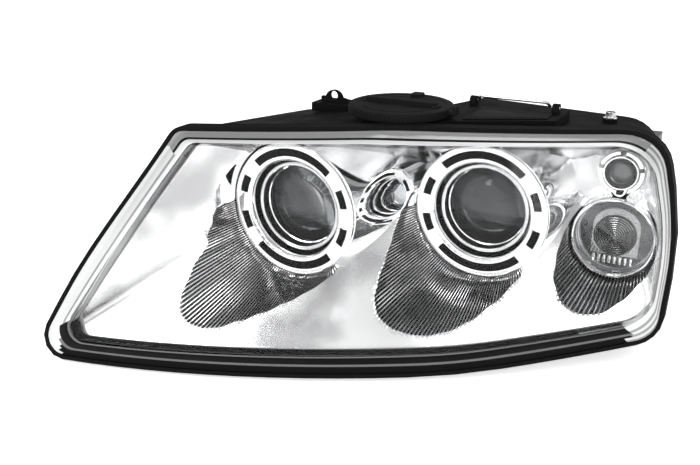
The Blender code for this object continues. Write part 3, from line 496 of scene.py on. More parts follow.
def cut(ob, others):
    """Takes the other objects out of ob for good."""
    for o in others:
        m = ob.modifiers.new("cut", "BOOLEAN")
        m.operation = "DIFFERENCE"
        m.solver = "EXACT"
        m.object = o
    first = [m for m in ob.modifiers if m.type == "BEVEL"]
    keep = [(m.width, m.segments) for m in first]
    for m in first:
        ob.modifiers.remove(m)
    dg = bpy.context.evaluated_depsgraph_get()
    me = bpy.data.meshes.new_from_object(ob.evaluated_get(dg))
    ob.modifiers.clear()
    ob.data = me
    for o in others:
        bpy.data.objects.remove(o, do_unlink=True)
    me.shade_smooth()
    me.set_sharp_from_angle(angle=math.radians(34))
    for w, s in keep:
        b = ob.modifiers.new("edge", "BEVEL")
        b.width, b.segments, b.limit_method, b.angle_limit = w, s, "ANGLE", math.radians(35)
    return ob


def tool(V, F):
    me = bpy.data.meshes.new("tool")
    me.from_pydata([W(*v) for v in V], [], F)
    bm = bmesh.new()
    bm.from_mesh(me)
    bmesh.ops.recalc_face_normals(bm, faces=bm.faces)
    if bm.calc_volume(signed=True) < 0:
        bmesh.ops.reverse_faces(bm, faces=bm.faces)
    bm.to_mesh(me)
    bm.free()
    ob = bpy.data.objects.new("tool", me)
    bpy.context.scene.collection.objects.link(ob)
    return ob


def sector(c, r0, r1, a0, a1, y0, y1, n=24):
    """Solid ring sector about the beam axis, used as a cutter."""
    return tool(*spin([(r0, y0), (r1, y0), (r1, y1), (r0, y1)], c, n, "Y", None, a0, a1))


HOUSE = "lamp_housing"

# ---------------------------------------------------------------- bezel
# how far each mouth stands out from its opening, by direction (degrees, mm)
D1 = [(-181, 1.2), (-170, 5.5), (-156, 15.3), (-144, 31.5), (-136, 41.2), (-130, 45.4), (-124, 44.5), (-117, 40.6), (-111, 35.2), (-102, 25.8),
      (-92, 18.2), (-80, 12.2), (-67, 8.6), (-54, 6.4), (-40, 3.2), (-30, 1.5), (40, 1.2), (181, 1.2)]
D2 = [(-181, 5.0), (-173, 8.1), (-159, 11.2), (-149, 16.7), (-141, 24.0), (-134, 31.0), (-127, 34.5), (-118, 34.7), (-109, 32.9), (-101, 31.0),
      (-91, 27.2), (-81, 21.6), (-70, 14.3), (-55, 6.5), (-41, 1.2), (-30, 1.0), (120, 1.0), (160, 2.2), (181, 5.0)]
D3 = [(-181, 1.2), (-161, 3.0), (-140, 7.8), (-120, 11.5), (-99, 13.6), (-84, 13.4), (-68, 9.6), (-48, 5.3), (-17, 1.4), (0, 1.0), (181, 1.1)]


def face_y(x, z):
    left = line_dist(x, z, FRONT[6], FRONT[0])
    top = smin(line_dist(x, z, FRONT[0], FRONT[1]), line_dist(x, z, FRONT[1], FRONT[2]), 3)
    right = smin(line_dist(x, z, FRONT[2], FRONT[3]), line_dist(x, z, FRONT[3], FRONT[4]), 3)
    low = smin(line_dist(x, z, FRONT[5], FRONT[6]), line_dist(x, z, FRONT[4], FRONT[5]), 3)
    d = smin(smin(1.05 * left, 0.72 * low, 5), smin(2.6 * top, 1.5 * right, 8), 9)
    return min(lens_y(x, z) + 9 + max(0.0, d - 2), 148.0)


def side_dist(x, z):
    return min(math.hypot(x - TS[0], z - TS[2]) - R_TURN, math.hypot(x - SIDE_A[0], z - SIDE_A[2]) - R_SIDE_A,
               math.hypot(x - SIDE_B[0], z - SIDE_B[2]) - R_SIDE_B)


def others_y(x, z, skip):
    """The bezel surface, leaving out one module's own walls."""
    y = min(face_y(x, z), 148.0)
    for k, (c, r, f_out) in enumerate(((M1, R_HOLE, .29), (M2, R_HOLE, .07))):
        if k != skip:
            y = min(y, c[1] + max(0.0, math.hypot(x - c[0], z - c[2]) - r) / f_out)
    if skip != 2:
        y = min(y, TS[1] + max(0.0, side_dist(x, z)) / 0.2)
    return y


def side_loop(n=360):
    """Outline of the three overlapping openings: (x, z, outward x, outward z)."""
    def meet(c0, r0, c1, r1):
        d = c1 - c0
        a = (r0 * r0 - r1 * r1 + d * d) / (2 * d)
        return math.atan2(a, math.sqrt(r0 * r0 - a * a)), math.atan2(a - d, math.sqrt(r0 * r0 - a * a))
    t_end, b_start = meet(TS[2], R_TURN, SIDE_B[2], R_SIDE_B)
    b_end, a_start = meet(SIDE_B[2], R_SIDE_B, SIDE_A[2], R_SIDE_A)
    right = []
    for c, r, s, e, m in ((TS[2], R_TURN, -math.pi / 2, t_end, 460), (SIDE_B[2], R_SIDE_B, b_start, b_end, 12),
                          (SIDE_A[2], R_SIDE_A, a_start, math.pi / 2, 70)):
        for k in range(m + 1):
            if right and k == 0:
                continue
            q = s + (e - s) * k / m
            right.append((r * math.cos(q), c + r * math.sin(q), math.cos(q), math.sin(q)))
    loop = [(TS[0] + u, w, a, b) for u, w, a, b in right]
    loop += [(TS[0] - u, w, -a, b) for u, w, a, b in right[-2:0:-1]]
    # soften the outward directions at the waists so that the wall has no fold
    n = len(loop)
    for _ in range(24):
        sm = []
        for k in range(n):
            ax = loop[k - 1][2] + loop[k][2] * 2 + loop[(k + 1) % n][2]
            az = loop[k - 1][3] + loop[k][3] * 2 + loop[(k + 1) % n][3]
            ln = math.hypot(ax, az) or 1
            near = abs(loop[k][1] - 8) < 9 or abs(loop[k][1] - 17) < 8
            sm.append((loop[k][0], loop[k][1], ax / ln, az / ln) if near else loop[k])
        loop = sm
    return loop


# crest weight of each wall point, which drives the painted flute highlights and shade
CREST = []


def wall_patch(ring, skip, c, d_tab, f_out, n_rad, deep=0.6, stops=()):
    """Walls from an opening out to the face. ring holds (x, z, outward x, outward z, flute phase, flute weight).
    Returns points, faces, kinds and the mouth loop."""
    c_y, n = c[1], len(ring)
    ds, ins = [], []
    for (x0, z0, ox, oz, ph, fw) in ring:
        a = math.degrees(math.atan2(z0 - c[2], x0 - c[0]))
        want = table(d_tab, a)
        if others_y(x0 + ox * want, z0 + oz * want, skip) <= c_y:
            ds.append(want)
            ins.append(True)
            continue
        d = 0.0
        while d < 70:
            x, z = x0 + ox * d, z0 + oz * d
            if c_y + d / f_out >= others_y(x, z, skip) or any(inside(x, z, lp) for lp in stops):
                break
            d += 0.25
        ds.append(max(d, 0.3))
        ins.append(False)
    for _ in range(3):          # ease the mouth over about four degrees
        w = max(1, n // 260)
        ds = [sum(ds[(k + j) % n] for j in range(-w, w + 1)) / (2 * w + 1) for k in range(n)]
    rows, mouth, kinds = [], [], []
    for (x0, z0, ox, oz, ph, fw), d, inward in zip(ring, ds, ins):
        x, z = x0 + ox * d, z0 + oz * d
        y1 = others_y(x, z, skip)
        if not inward:
            y1 = min(y1, c_y + d / f_out)
        rows.append((x0, z0, ox, oz, ph, fw, d, y1, inward))
        mouth.append(Vector((x, z)))
        kinds.append(1 if inward and fw > 0 else 0)
    V, F, K = [], [], []
    m = n_rad + 1
    for (x0, z0, ox, oz, ph, fw, d, y1, inward) in rows:
        for j in range(m):
            t = j / n_rad
            t = t * t * (3 - 2 * t) * 0.35 + t * 0.65
            e = d * t
            y = c_y + (y1 - c_y) * t
            off = 0.0
            if inward and fw > 0:
                along = abs(y - c_y)
                length = abs(y1 - c_y)
                end = min(1.0, max(0.0, (length - along) / 0.8))
                beg = min(1.0, max(0.0, (along - 5.2) / 0.7))
                off = deep * fw * abs(math.sin(ph * 0.5)) * end * beg * min(1.0, length / 12.0)
                off -= deep * 0.5 * fw * end * beg
                # concentric grooves and the knurled band next to the ring
                if length > 7 and along < 5.2:
                    g = max(0.0, 1 - abs(along - 1.2) / 0.55) + max(0.0, 1 - abs(along - 4.5) / 0.5)
                    off += 1.1 * min(1.0, g * 1.6)
                    if 1.8 < along < 3.9:
                        off += 0.12 * abs(math.sin(ph))
            V.append((x0 + ox * (e + off), y, z0 + oz * (e + off)))
            CREST.append((1 - abs(math.sin(ph * 0.5))) if (inward and fw > 0) else 1.0)
    n = len(rows)
    for k in range(n):
        l = (k + 1) % n
        for j in range(n_rad):
            F.append((k * m + j, l * m + j, l * m + j + 1, k * m + j + 1))
            K.append(1 if (kinds[k] and kinds[l]) else 0)
    return V, F, K, mouth


def flute_weight(q, a_from, a_to):
    """1 inside the fluted sector, fading over 4 degrees."""
    d = min(q - a_from, a_to - q)
    return min(1.0, max(0.0, d / 4.0))


def module_ring(c, r, n_flutes, a_from, a_to, per=6):
    n = n_flutes * per
    out = []
    for k in range(n):
        q = -math.pi + 2 * math.pi * k / n
        out.append((c[0] + r * math.cos(q), c[2] + r * math.sin(q), math.cos(q), math.sin(q),
                    2 * math.pi * k / per, flute_weight(math.degrees(q), a_from, a_to)))
    return out


FL1, FL2, FL3 = 190, 190, 150


def inside(x, z, lp):
    c = False
    for k in range(len(lp)):
        p, q = lp[k - 1], lp[k]
        if (p.y > z) != (q.y > z) and x < p.x + (z - p.y) * (q.x - p.x) / (q.y - p.y):
            c = not c
    return c


c0 = len(CREST)
p2 = wall_patch(module_ring(M2, R_HOLE, FL2, -178, -30), 1, M2, D2, .07, 34)
c1 = len(CREST)
p1 = wall_patch(module_ring(M1, R_HOLE, FL1, -184, -30), 0, M1, D1, .29, 34, stops=[p2[3][::4]])
sl = side_loop()
sring = []
for x, z, ox, oz in sl:
    q = math.degrees(math.atan2(z - TS[2], x - TS[0]))
    on = z < TS[2] + 26 and abs(math.hypot(x - TS[0], z - TS[2]) - R_TURN) < 0.1
    w = (flute_weight(q, -188, 0) if q < 90 else flute_weight(q, 168, 190)) if on else 0.0
    sring.append((x, z, ox, oz, 2 * math.pi * q / 360 * 84, w))
c2 = len(CREST)
p3 = wall_patch(sring, 2, TS, D3, .2, 26, deep=0.55)

front = rounded(FRONT)
edge = shrunk(FRONT, 2.9)
pts, edges = [], []


def add_loop(lp):
    s = len(pts)
    pts.extend(lp)
    ids = list(range(s, s + len(lp)))
    edges.extend((ids[k], ids[(k + 1) % len(ids)]) for k in range(len(ids)))
    return ids


outer_ids = add_loop(edge)
mouths = [p[3] for p in (p1, p2, p3)]
for mth in mouths:
    add_loop(mth)
boxes_m = [(min(p.x for p in m) - 1, max(p.x for p in m) + 1, min(p.y for p in m) - 1, max(p.y for p in m) + 1) for m in mouths]


def in_mouth(x, z):
    return any(b[0] < x < b[1] and b[2] < z < b[3] and inside(x, z, m) for b, m in zip(boxes_m, mouths))


edge_in = shrunk(FRONT, 4.0)
cell = {}
for m in mouths:
    for p in m:
        cell.setdefault((int(p.x // 3), int(p.y // 3)), []).append(p)


def clear(x, z, gap=1.3):
    i, j = int(x // 3), int(z // 3)
    return all((p.x - x) ** 2 + (p.y - z) ** 2 > gap * gap
               for a in (-1, 0, 1) for b in (-1, 0, 1) for p in cell.get((i + a, j + b), ()))


x, row = -162.0, 0
GRID = 2.4
while x < 290:
    z = -104.0 + (row % 2) * GRID / 2
    while z < 66:
        if inside(x, z, edge_in) and not in_mouth(x, z) and clear(x, z):
            pts.append(Vector((x, z)))
        z += GRID
    x += GRID * 0.9
    row += 1
res = delaunay_2d_cdt(pts, edges, [], 0, 1e-5)
fp = res[0]
edge_poly = edge
FV = []
for p in fp:
    y = others_y(p.x, p.y, -1)
    FV.append((p.x, y, p.y))
FF = []
for tri in res[2]:
    cx = sum(fp[k].x for k in tri) / 3
    cz = sum(fp[k].y for k in tri) / 3
    if inside(cx, cz, edge_poly) and not in_mouth(cx, cz):
        FF.append(tuple(tri))
V, F, K = list(FV), list(FF), [0] * len(FF)
CR = [1.0] * len(FV) + CREST[c1:c2] + CREST[c0:c1] + CREST[c2:]
for k, (pv, pf, pk, _) in enumerate((p1, p2, p3)):
    s = len(V)
    V += pv
    F += [tuple(s + i for i in f) for f in pf]
    K += [2 if q else 1 for q in pk]
# rolled edge of the face, then the skirt back towards the flange
n = len(edge)
lipy = [others_y(p.x, p.y, -1) for p in edge]
border = []
for p in rounded(FLANGE):
    border.append(min((p - q).length for q in front))
deepv = [min(1.0, max(0.0, (15.0 - b) / 6.0)) for b in border]
sk = [a.lerp(b, s) for a, b, s in zip(shrunk(FLANGE, 9.4), shrunk(FLANGE, 5.2), deepv)]
sky = [lens_y(p.x, p.y) + max(wall_depth(q.y) - 4.0, 13.0 - 1.8 * s) for p, q, s in zip(sk, rounded(FLANGE), deepv)]
s0 = len(V)
rows = [[(p.x, y, p.y) for p, y in zip(edge, lipy)]]
for t, bulge in ((0.03, -0.5), (0.09, -0.3), (0.16, 0.5), (0.2, 1.0), (0.36, 0.9), (0.52, 0.9), (0.56, 0.2), (0.62, 0.2), (0.66, 0.9), (0.84, 0.9), (0.88, 0.2), (1.0, 0.0)):
    rows.append([(p.x + (q.x - p.x) * t, y0 + (y1 - y0) * t + bulge, p.y + (q.y - p.y) * t)
                 for p, q, y0, y1 in zip(edge, sk, lipy, sky)])
V += [p for r in rows for p in r]
# skirt rows by material: grey rows paint the light and shade along the rolled edge and thin lines of light at the foot;
# along the bottom the rows between them are gloss black
SK = [3, 3, 0, 0, 4, 4, 4, 3, 3, 4, 4, 3]
for i in range(len(rows) - 1):
    for k in range(n):
        l = (k + 1) % n
        F.append((s0 + i * n + k, s0 + i * n + l, s0 + (i + 1) * n + l, s0 + (i + 1) * n + k))
        low = edge[k].y < -88 and -150 < edge[k].x < 281
        K.append(SK[i] if low else (3 if SK[i] == 3 else 0))
piece("bezel_detailed", V, F, ["chrome", "wall", "flute", "greyband", "black2"], HOUSE, "chrome", ["bezel"], sharp=38,
      fmats=K, weld=8e-6, solid=0.5, crest=CR)

# ---------------------------------------------------------------- cover lens
flange = rounded(FLANGE)
foot_o, foot_i = shrunk(FLANGE, 0.8), shrunk(FLANGE, 3.8)
fr_i = shrunk(FRONT, 3.0)
out_l = [[(p.x, rim_y(p.x, p.y), p.y) for p in foot_o]]
in_l = [[(p.x, rim_y(p.x, p.y), p.y) for p in foot_i]]
out_l.append([(p.x, rim_y(p.x, p.y) - 3.6, p.y) for p in foot_o])
in_l.append([(p.x, rim_y(p.x, p.y) - 1.6, p.y) for p in foot_i])
for t in (0.1, 0.22, 0.36, 0.52, 0.68, 0.82, 0.93):
    d = (1 - t) ** 1.32
    a, b = [], []
    for p, q, pi, qi in zip(foot_o, front, foot_i, fr_i):
        o, i = p.lerp(q, t), pi.lerp(qi, t)
        wd = wall_depth(o.y)
        yo = lens_y(o.x, o.y) + min(wd * d, wd - 4) - 0.4 * t
        a.append((o.x, yo, o.y))
        b.append((i.x, yo + 3.0 * t + 1.2 * (1 - t), i.y))
    out_l.append(a)
    in_l.append(b)
out_l.append([(p.x, lens_y(p.x, p.y) - 0.1, p.y) for p in front])
in_l.append([(p.x, lens_y(p.x, p.y) + 3.0, p.y) for p in fr_i])
mid = Vector((70, -20))
for s in (0.985, 0.9, 0.78, 0.64, 0.5, 0.36, 0.22, 0.1):
    out_l.append([(mid.lerp(p, s).x, lens_y(*mid.lerp(p, s)), mid.lerp(p, s).y) for p in front])
    in_l.append([(mid.lerp(p, s).x, lens_y(*mid.lerp(p, s)) + 3.0, mid.lerp(p, s).y) for p in fr_i])
seq = in_l[::-1] + out_l
N = len(front)
V = [p for lp in seq for p in lp]
F = [(i * N + k, i * N + (k + 1) % N, (i + 1) * N + (k + 1) % N, (i + 1) * N + k) for i in range(len(seq) - 1) for k in range(N)]
V += [(mid.x, lens_y(*mid) + 3.0, mid.y), (mid.x, lens_y(*mid), mid.y)]
last = (len(seq) - 1) * N
for k in range(N):
    l = (k + 1) % N
    F += [(l, k, len(V) - 2), (last + k, last + l, len(V) - 1)]
# side walls and foot of the cover painted in bands: white painted highlight, grey painted reflection and highlight
# lines, black for the dark housing and its shade seen through
LM = []
rows_n = len(seq)
top_row = len(in_l)
for f in F:
    if min(f) >= top_row * N and max(f) < (top_row + 9) * N + N and len(f) == 4:
        i, k = min(f) // N - top_row, min(f) % N
        p = front[k]
        low = p.y < -86 and -157 < p.x < 280
        if i > 8:
            LM.append(0)
        elif low and i >= 8 - (p.x + 157) / 3.2 and i >= 8 - (280 - p.x) / 3.2:
            LM.append((2, 2, 2, 2, 3, 2, 2, 2, 3)[i])
        elif p.y > 50 and p.x < 262:
            LM.append((4, 4, 4, 4, 4, 2, 1, 1, 1)[i])
        elif p.x > 200:
            LM.append((4, 4, 1, 4, 1, 4, 1, 1, 1)[i])
        else:
            LM.append((1, 1, 1, 1, 1, 1, 4, 1, 1)[i])
    else:
        LM.append(0)
piece("cover_lens", V, F, ["cover", "band", "bandblack", "bandgrey", "bandmid"], HOUSE, "lens", ["outer_lens"], sharp=50, fmats=LM)

# ---------------------------------------------------------------- trim rings
SLOTS = ((46, 134), (226, 314), (152, 170), (190, 208), (-28, -10), (10, 28))


def tooth(n, depth, r_lo, r_hi, a_lo=0, a_hi=360):
    def w(r, a, q):
        d = math.degrees(q) % 360
        on = a_lo <= d <= a_hi or a_lo <= d - 360 <= a_hi
        return (0.0, depth * (0.5 + 0.5 * math.cos(n * q)) if (on and r_lo <= r <= r_hi) else 0.0)
    return w


for tag, c, node in (("inner", M1, "trim_ring_inner"), ("outer", M2, "trim_ring_outer")):
    V, F = spin([(42.5, -0.4), (42.8, -1.0), (43.6, -1.5), (44.6, -1.75), (50.0, -2.3), (56.2, -2.9), (57.2, -2.9),
                 (57.9, -2.5), (58.2, -1.8), (58.2, 4.0), (42.5, 4.0)], c, 180)
    ob = piece("ring_" + tag, V, F, "ring", HOUSE, "ring_chrome", [node], bevel=0.3, seg=2)
    cut(ob, [sector(c, 46.5, 53.4, a0, a1, -12, 12, max(4, int((a1 - a0) / 3))) for a0, a1 in SLOTS])
    lathe("ring_backing_" + tag, [(44.4, 4.3), (57.0, 4.3), (57.0, 5.2), (44.4, 5.2)], c, "dark", HOUSE, seg=96)
    # fine radial teeth on the lower quarter, inside and outside
    lathe("ring_teeth_in_" + tag, [(42.75, -1.3), (43.9, -2.05), (45.7, -2.25), (45.9, -1.7), (42.75, -0.7)], c, "ring", HOUSE,
          seg=300, wob=tooth(260, 0.42, 43.0, 45.8), a0=186, a1=286)
    lathe("ring_teeth_out_" + tag, [(54.4, -2.65), (55.0, -3.15), (57.4, -3.3), (57.9, -2.6), (56.0, -2.3)], c, "ring", HOUSE,
          seg=380, wob=tooth(320, 0.36, 54.6, 57.5), a0=172, a1=300)

# ---------------------------------------------------------------- projector modules
for tag, c in (("inner", M1), ("outer", M2)):
    bar = [(36.0, 7.2), (36.6, 6.6), (38.0, 6.4), (39.4, 6.8), (40.6, 8.2), (41.5, 9.4), (41.5, 20), (41.2, 20.6), (41.2, 22.4), (41.5, 23), (41.5, 39.5),
           (50, 39.5), (50, 42.9), (38.3, 42.9), (38.3, 9.6), (36.4, 9.2)]
    lathe("barrel_" + tag, bar, c, "satin", "carrier", seg=120, slot="satin_metal", replaces=["lens_barrel_" + tag], bevel=0.15)
    dome = [(0, 6.0)] + [(37.9 * k / 14, 6.0 + 16.0 * (k / 14) ** 2) for k in range(1, 15)]
    lathe("projector_glass_" + tag, dome + [(37.9, 25.4), (37.4, 25.9), (0, 25.9)], c, "projector", "carrier", seg=96,
          slot="projector_glass", replaces=["projector_lens_" + tag], sharp=50)
    # dark half-disc behind the lower part of the glass: painted shade standing for the shutter's inverted image
    lower = [(c[0] + 36.8 * math.cos(math.radians(q)), c[2] + 36.8 * math.sin(math.radians(q))) for q in range(208, 333, 4)]
    prism("projector_painted_shade_" + tag, lower, "Y", c[1] + 26.05, c[1] + 26.45, "dark", "carrier", bevel=0.0)
    # disc behind the glass carrying the painted picture of the bowl and the painted shade of the shutter
    lathe("projector_painted_image_" + tag, [(0, 26.6), (30, 26.7), (37.6, 26.3), (37.6, 28.0), (0, 28.4)], c, "image", "carrier", seg=96)
    # bead and black gasket round the glass, chrome cup in front of it
    lathe("glass_bead_" + tag, [(36.2, 9.9), (37.9, 10.3), (37.9, 20.4), (37.2, 20.0), (36.0, 17.5)], c, "black2", "carrier", seg=96)
    lathe("glass_rim_" + tag, [(34.4, 15.6), (35.3, 14.9), (36.1, 15.4), (36.0, 17.2), (35.2, 17.8)], c, "ring", "carrier", seg=120)

# ---------------------------------------------------------------- turn signal
lathe("turn_bezel_ring", [(33.6, -7.6), (34.0, -8.4), (34.8, -8.7), (35.6, -8.2), (36.3, -7.0), (36.7, -5.2), (36.9, 0), (36.9, 3.0), (33.6, 3.0)],
      TS, "ring", HOUSE, seg=240, slot="ring_chrome", replaces=["turn_ring"],
      wob=lambda r, a, q: (0.0, 0.5 * (0.5 + 0.5 * math.cos(150 * q)) if 34.4 < r < 36.5 and 185 < math.degrees(q) % 360 < 350 else 0.0))
fres = [(0.0, -4.2)]
for k in range(1, 9):
    r0 = 2.1 + (k - 1) * 1.9
    fres += [(r0 - 0.15, -3.5 + 0.02 * k), (r0 + 0.15, -4.25 + 0.04 * k)]
fres += [(19.2, -3.3), (20.4, -2.9), (24, -2.4), (30, -1.2), (33.3, -0.4), (33.3, 2.4), (0, 2.4)]
lathe("turn_cover", fres, TS, "glass", HOUSE, seg=128, slot="lamp_glass", replaces=["turn_lens"], sharp=24)


def bowl(q, r, a):
    """Facets of the turn-signal bowl: 24 flat-sided flutes."""
    w = (q * 24 / (2 * math.pi)) % 1.0 - 0.5
    return (-0.9 * (0.25 - w * w) * 2.2 * min(1.0, r / 30.0), 0.0)


po = [(34.0 * math.cos(math.radians(a)), 8 + 42 * math.sin(math.radians(a))) for a in range(0, 73, 8)]
pi_ = [(31.6 * math.cos(math.radians(a)), 8 + 39 * math.sin(math.radians(a))) for a in range(0, 73, 8)]
lathe("turn_bowl", [(31.8, 5.2), (34.0, 5.2)] + po + [(9.2, 50)] + pi_[::-1], TS, "facet", HOUSE, seg=240, slot="satin_metal",
      replaces=["turn_reflector"], wob=lambda r, a, q: bowl(q, r, a) if 5.6 < a < 49.4 and abs(r / 34.0) < 0.935 else (0, 0), sharp=20)
saw = [(0.0, 1.2)]
for k in range(1, 10):
    saw += [(2.0 * k - 0.35, 2.3), (2.0 * k, 1.2)]
saw += [(18.6, 2.6), (18.6, 3.0), (0.0, 3.0)]
lathe("turn_fresnel", saw, TS, "facet", HOUSE, seg=120, slot="lamp_glass", sharp=12)
# thin dark rings on the Fresnel panel: painted shade lines standing for its steps
for k in range(1, 10):
    r = 2.0 * k
    lathe("turn_ring_%d" % k, [(r - 0.3, 0.95), (r + 0.3, 0.95), (r + 0.3, 1.35), (r - 0.3, 1.35)], TS, "dark", HOUSE, seg=96)
# moulded optic panel behind the cover: flat sides, rounded top, ribs at its foot
panel = [(TS[0] - 20, TS[2] - 19), (TS[0] + 21, TS[2] - 19), (TS[0] + 21, TS[2] + 8)]
panel += [(TS[0] + 0.5 + 20.5 * math.cos(math.radians(a)), TS[2] + 8 + 17 * math.sin(math.radians(a))) for a in range(8, 173, 8)]
panel += [(TS[0] - 20, TS[2] + 8)]
prism("turn_optic_panel", panel, "Y", TS[1] + 3.0, TS[1] + 4.4, "facet", HOUSE, bevel=0.5, slot="lamp_glass")
boxes("turn_optic_ribs", [((TS[0] - 18 + 4.6 * k, TS[1] + 0.4 + 2.2, TS[2] - 27.5), (TS[0] - 15 + 4.6 * k, TS[1] + 4.6, TS[2] - 19.6)) for k in range(8)],
      "ring", HOUSE, bevel=0.9, slot="ring_chrome")
lathe("turn_capsule", [(0, 20), (2.6, 20.3), (5, 21.5), (6.7, 23.6), (7.5, 26), (7.5, 38), (7.0, 41), (6, 43), (6, 52.7), (0, 52.7)], TS, "bulb",
      "turn_lamp_holder", seg=64, slot="lamp_glass", replaces=["turn_bulb"], sharp=50)
lathe("turn_socket", [(0, 53), (12.5, 53), (13, 53.5), (13, 60), (14.2, 60.5), (14.2, 88.3), (17.2, 88.4), (17.5, 88.8), (17.5, 90.6), (17.0, 91),
                      (12, 91), (12, 100.4), (11.4, 101), (0, 101)], TS, "grey", "turn_lamp_holder", seg=96, slot="grey",
      replaces=["turn_bulb_holder"], wob=lambda r, a, q: (0.35 * max(0.0, math.cos(24 * q)) if 88 < a < 91.5 and r > 17 else 0.0, 0.0), sharp=30)

# ---------------------------------------------------------------- corner lamps
V, F = spin([(9.0, -4.6), (9.4, -5.0), (12.0, -5.2), (12.4, -4.8), (12.4, 3.4), (15.0, 2.0), (19.2, 1.4), (20.0, 1.8), (20.0, 7.2), (9.0, 7.2)], SIDE_A, 96)
ins = piece("corner_reflector", V, F, "chrome", HOUSE, "ring_chrome", ["corner_insert"], bevel=0.2)
cut(ins, [tool(*spin([(0, -9), (6.3, -9), (6.3, 12), (0, 12)], SIDE_B, 48))])
lathe("corner_tube", [(4.2, -5.9), (4.6, -6.2), (5.5, -6.2), (5.9, -5.8), (6.0, 5.2), (4.2, 5.2)], SIDE_B, "ring", HOUSE, seg=64, slot="ring_chrome")
# open C ring with gaps, and the dark socket in it
for k, (a0, a1) in enumerate(((20, 82), (98, 160), (172, 262), (300, 368))):
    lathe("corner_arc_%d" % k, [(15.4, -4.4), (16.0, -5.0), (18.4, -5.0), (19.0, -4.4), (19.0, 1.0), (15.4, 1.6)], SIDE_A, "ring", HOUSE,
          seg=max(8, int((a1 - a0) / 4)), a0=a0, a1=a1, bevel=0.25, slot="ring_chrome")
lathe("corner_socket", [(8.9, -5.6), (9.3, -6.1), (12.2, -6.3), (12.8, -5.8), (12.8, -5.25), (9.0, -5.1)], SIDE_A, "dark", HOUSE, seg=72, slot="grey")
lathe("corner_bezel", [(12.95, -5.6), (13.4, -6.2), (14.2, -6.2), (14.7, -5.6), (14.7, -3.6), (12.95, -3.6)], SIDE_A, "ring", HOUSE, seg=96)
lathe("corner_glass", [(0, -4.6), (2.5, -4.4), (5, -3.7), (7.2, -2.6), (8.7, -1.4), (8.7, 1.9), (0, 1.9)], SIDE_A, "glass", HOUSE, seg=64,
      slot="lamp_glass", replaces=["corner_lamp_lens"], sharp=50)
lathe("small_glass", [(0, -4.8), (1.4, -4.65), (2.6, -4.2), (3.9, -2.9), (3.9, -0.05), (0, -0.05)], SIDE_B, "cover", HOUSE, seg=48, slot="lamp_glass",
      replaces=["small_lamp_lens"], sharp=50)
lathe("corner_holder", [(0, 2.5), (3.0, 2.3), (3.4, 2.5), (7.6, 2.6), (7.6, 7.5), (9.5, 7.8), (9.5, 25.4), (9.0, 26), (0, 26)], SIDE_A, "dark", HOUSE, seg=64,
      slot="grey", replaces=["corner_bulb_holder"])
lathe("small_backing", [(0, 0.4), (4.0, 0.4), (4.0, 2.2), (0, 2.2)], SIDE_B, "dark", HOUSE, seg=40)

# ---------------------------------------------------------------- caps
def wavy(n, depth, lo, hi):
    return lambda r, a, q: ((depth * (0.5 + 0.5 * math.cos(n * q)) - depth if r > 44.5 and lo < a < hi else 0.0), 0.0)


lathe("roof_cap_disc", [(0, 79.2), (10, 79.2), (11, 78.9), (21, 78.9), (21.6, 79.3), (30, 79.3), (31, 79.7), (34, 79.7), (34.6, 79.2), (39, 79.2), (39.8, 79.75),
                        (44.8, 79.8), (45.7, 79.4), (46, 78.5), (46, 72.9), (45.4, 72.3), (42.8, 72.3), (42.8, 76.2), (0, 76.2)],
      (CAP_C[0], CAP_C[1], 0), "cap", "roof_cap", seg=216, axis="Z", slot="cap_grey", replaces=["top_cap"], wob=wavy(72, 0.5, 72.6, 79.0), sharp=26)
boxes("roof_cap_bar", [((CAP_C[0] - 34, CAP_C[1] - 2.8, 78.6), (CAP_C[0] + 34, CAP_C[1] + 2.8, 83.6)),
                       ((CAP_C[0] - 36, CAP_C[1] - 4.6, 78.6), (CAP_C[0] - 31, CAP_C[1] + 4.6, 81.0)),
                       ((CAP_C[0] + 31, CAP_C[1] - 4.6, 78.6), (CAP_C[0] + 36, CAP_C[1] + 4.6, 81.0))], "cap", "roof_cap", bevel=0.9)
boxes("roof_cap_tab", [((CAP_C[0] + 43.5, CAP_C[1] - 4.5, 74.9), (CAP_C[0] + 52.6, CAP_C[1] + 4.5, 78.9)),
                       ((CAP_C[0] + 49.4, CAP_C[1] - 4.5, 78.0), (CAP_C[0] + 52.8, CAP_C[1] + 4.5, 82.4))], "cap", "roof_cap", bevel=0.8)
boxes("roof_cap_lugs", [((CAP_C[0] - 5, CAP_C[1] + 30, 79.0), (CAP_C[0] + 5, CAP_C[1] + 41, 82.6))], "cap", "roof_cap", bevel=0.9)
for tag, c, y, body in (("inner", M1, REAR_IN, "rear_inner_cap"), ("outer", M2, REAR_OUT, "rear_outer_cap")):
    cc = (c[0], y, c[2])
    lathe("rear_cap_disc_" + tag, [(0, 13.6), (14, 13.6), (15, 14.3), (26, 14.3), (27, 13.5), (38, 13.5), (39, 14.4), (45.4, 14.5), (47.2, 14.1), (48, 13),
                                   (48, 3.6), (47.6, 3.2), (44.8, 3.2), (44.8, 10.9), (0, 10.9)], cc, "black", body, seg=240, slot="black",
          replaces=["rear_cap_" + tag], wob=lambda r, a, q: (0.7 * (0.5 + 0.5 * math.cos(60 * q)) - 0.7 if r > 47.4 and a < 13.9 else 0.0, 0.0), sharp=26)
    boxes("rear_cap_grip_" + tag, [((c[0] - 3.3, y + 12.6, c[2] - 36), (c[0] + 3.3, y + 21.8, c[2] + 36)),
                                   ((c[0] - 8, y + 12.6, c[2] - 4), (c[0] + 8, y + 16.5, c[2] + 4))], "black", body, bevel=1.1)
    boxes("rear_cap_marks_" + tag, [((c[0] + 40.6, y + 13.6, c[2] - 2), (c[0] + 45.4, y + 15.3, c[2] + 2)),
                                    ((c[0] - 45.4, y + 13.6, c[2] - 2), (c[0] - 40.6, y + 15.3, c[2] + 2))], "grey", body, bevel=0.4)
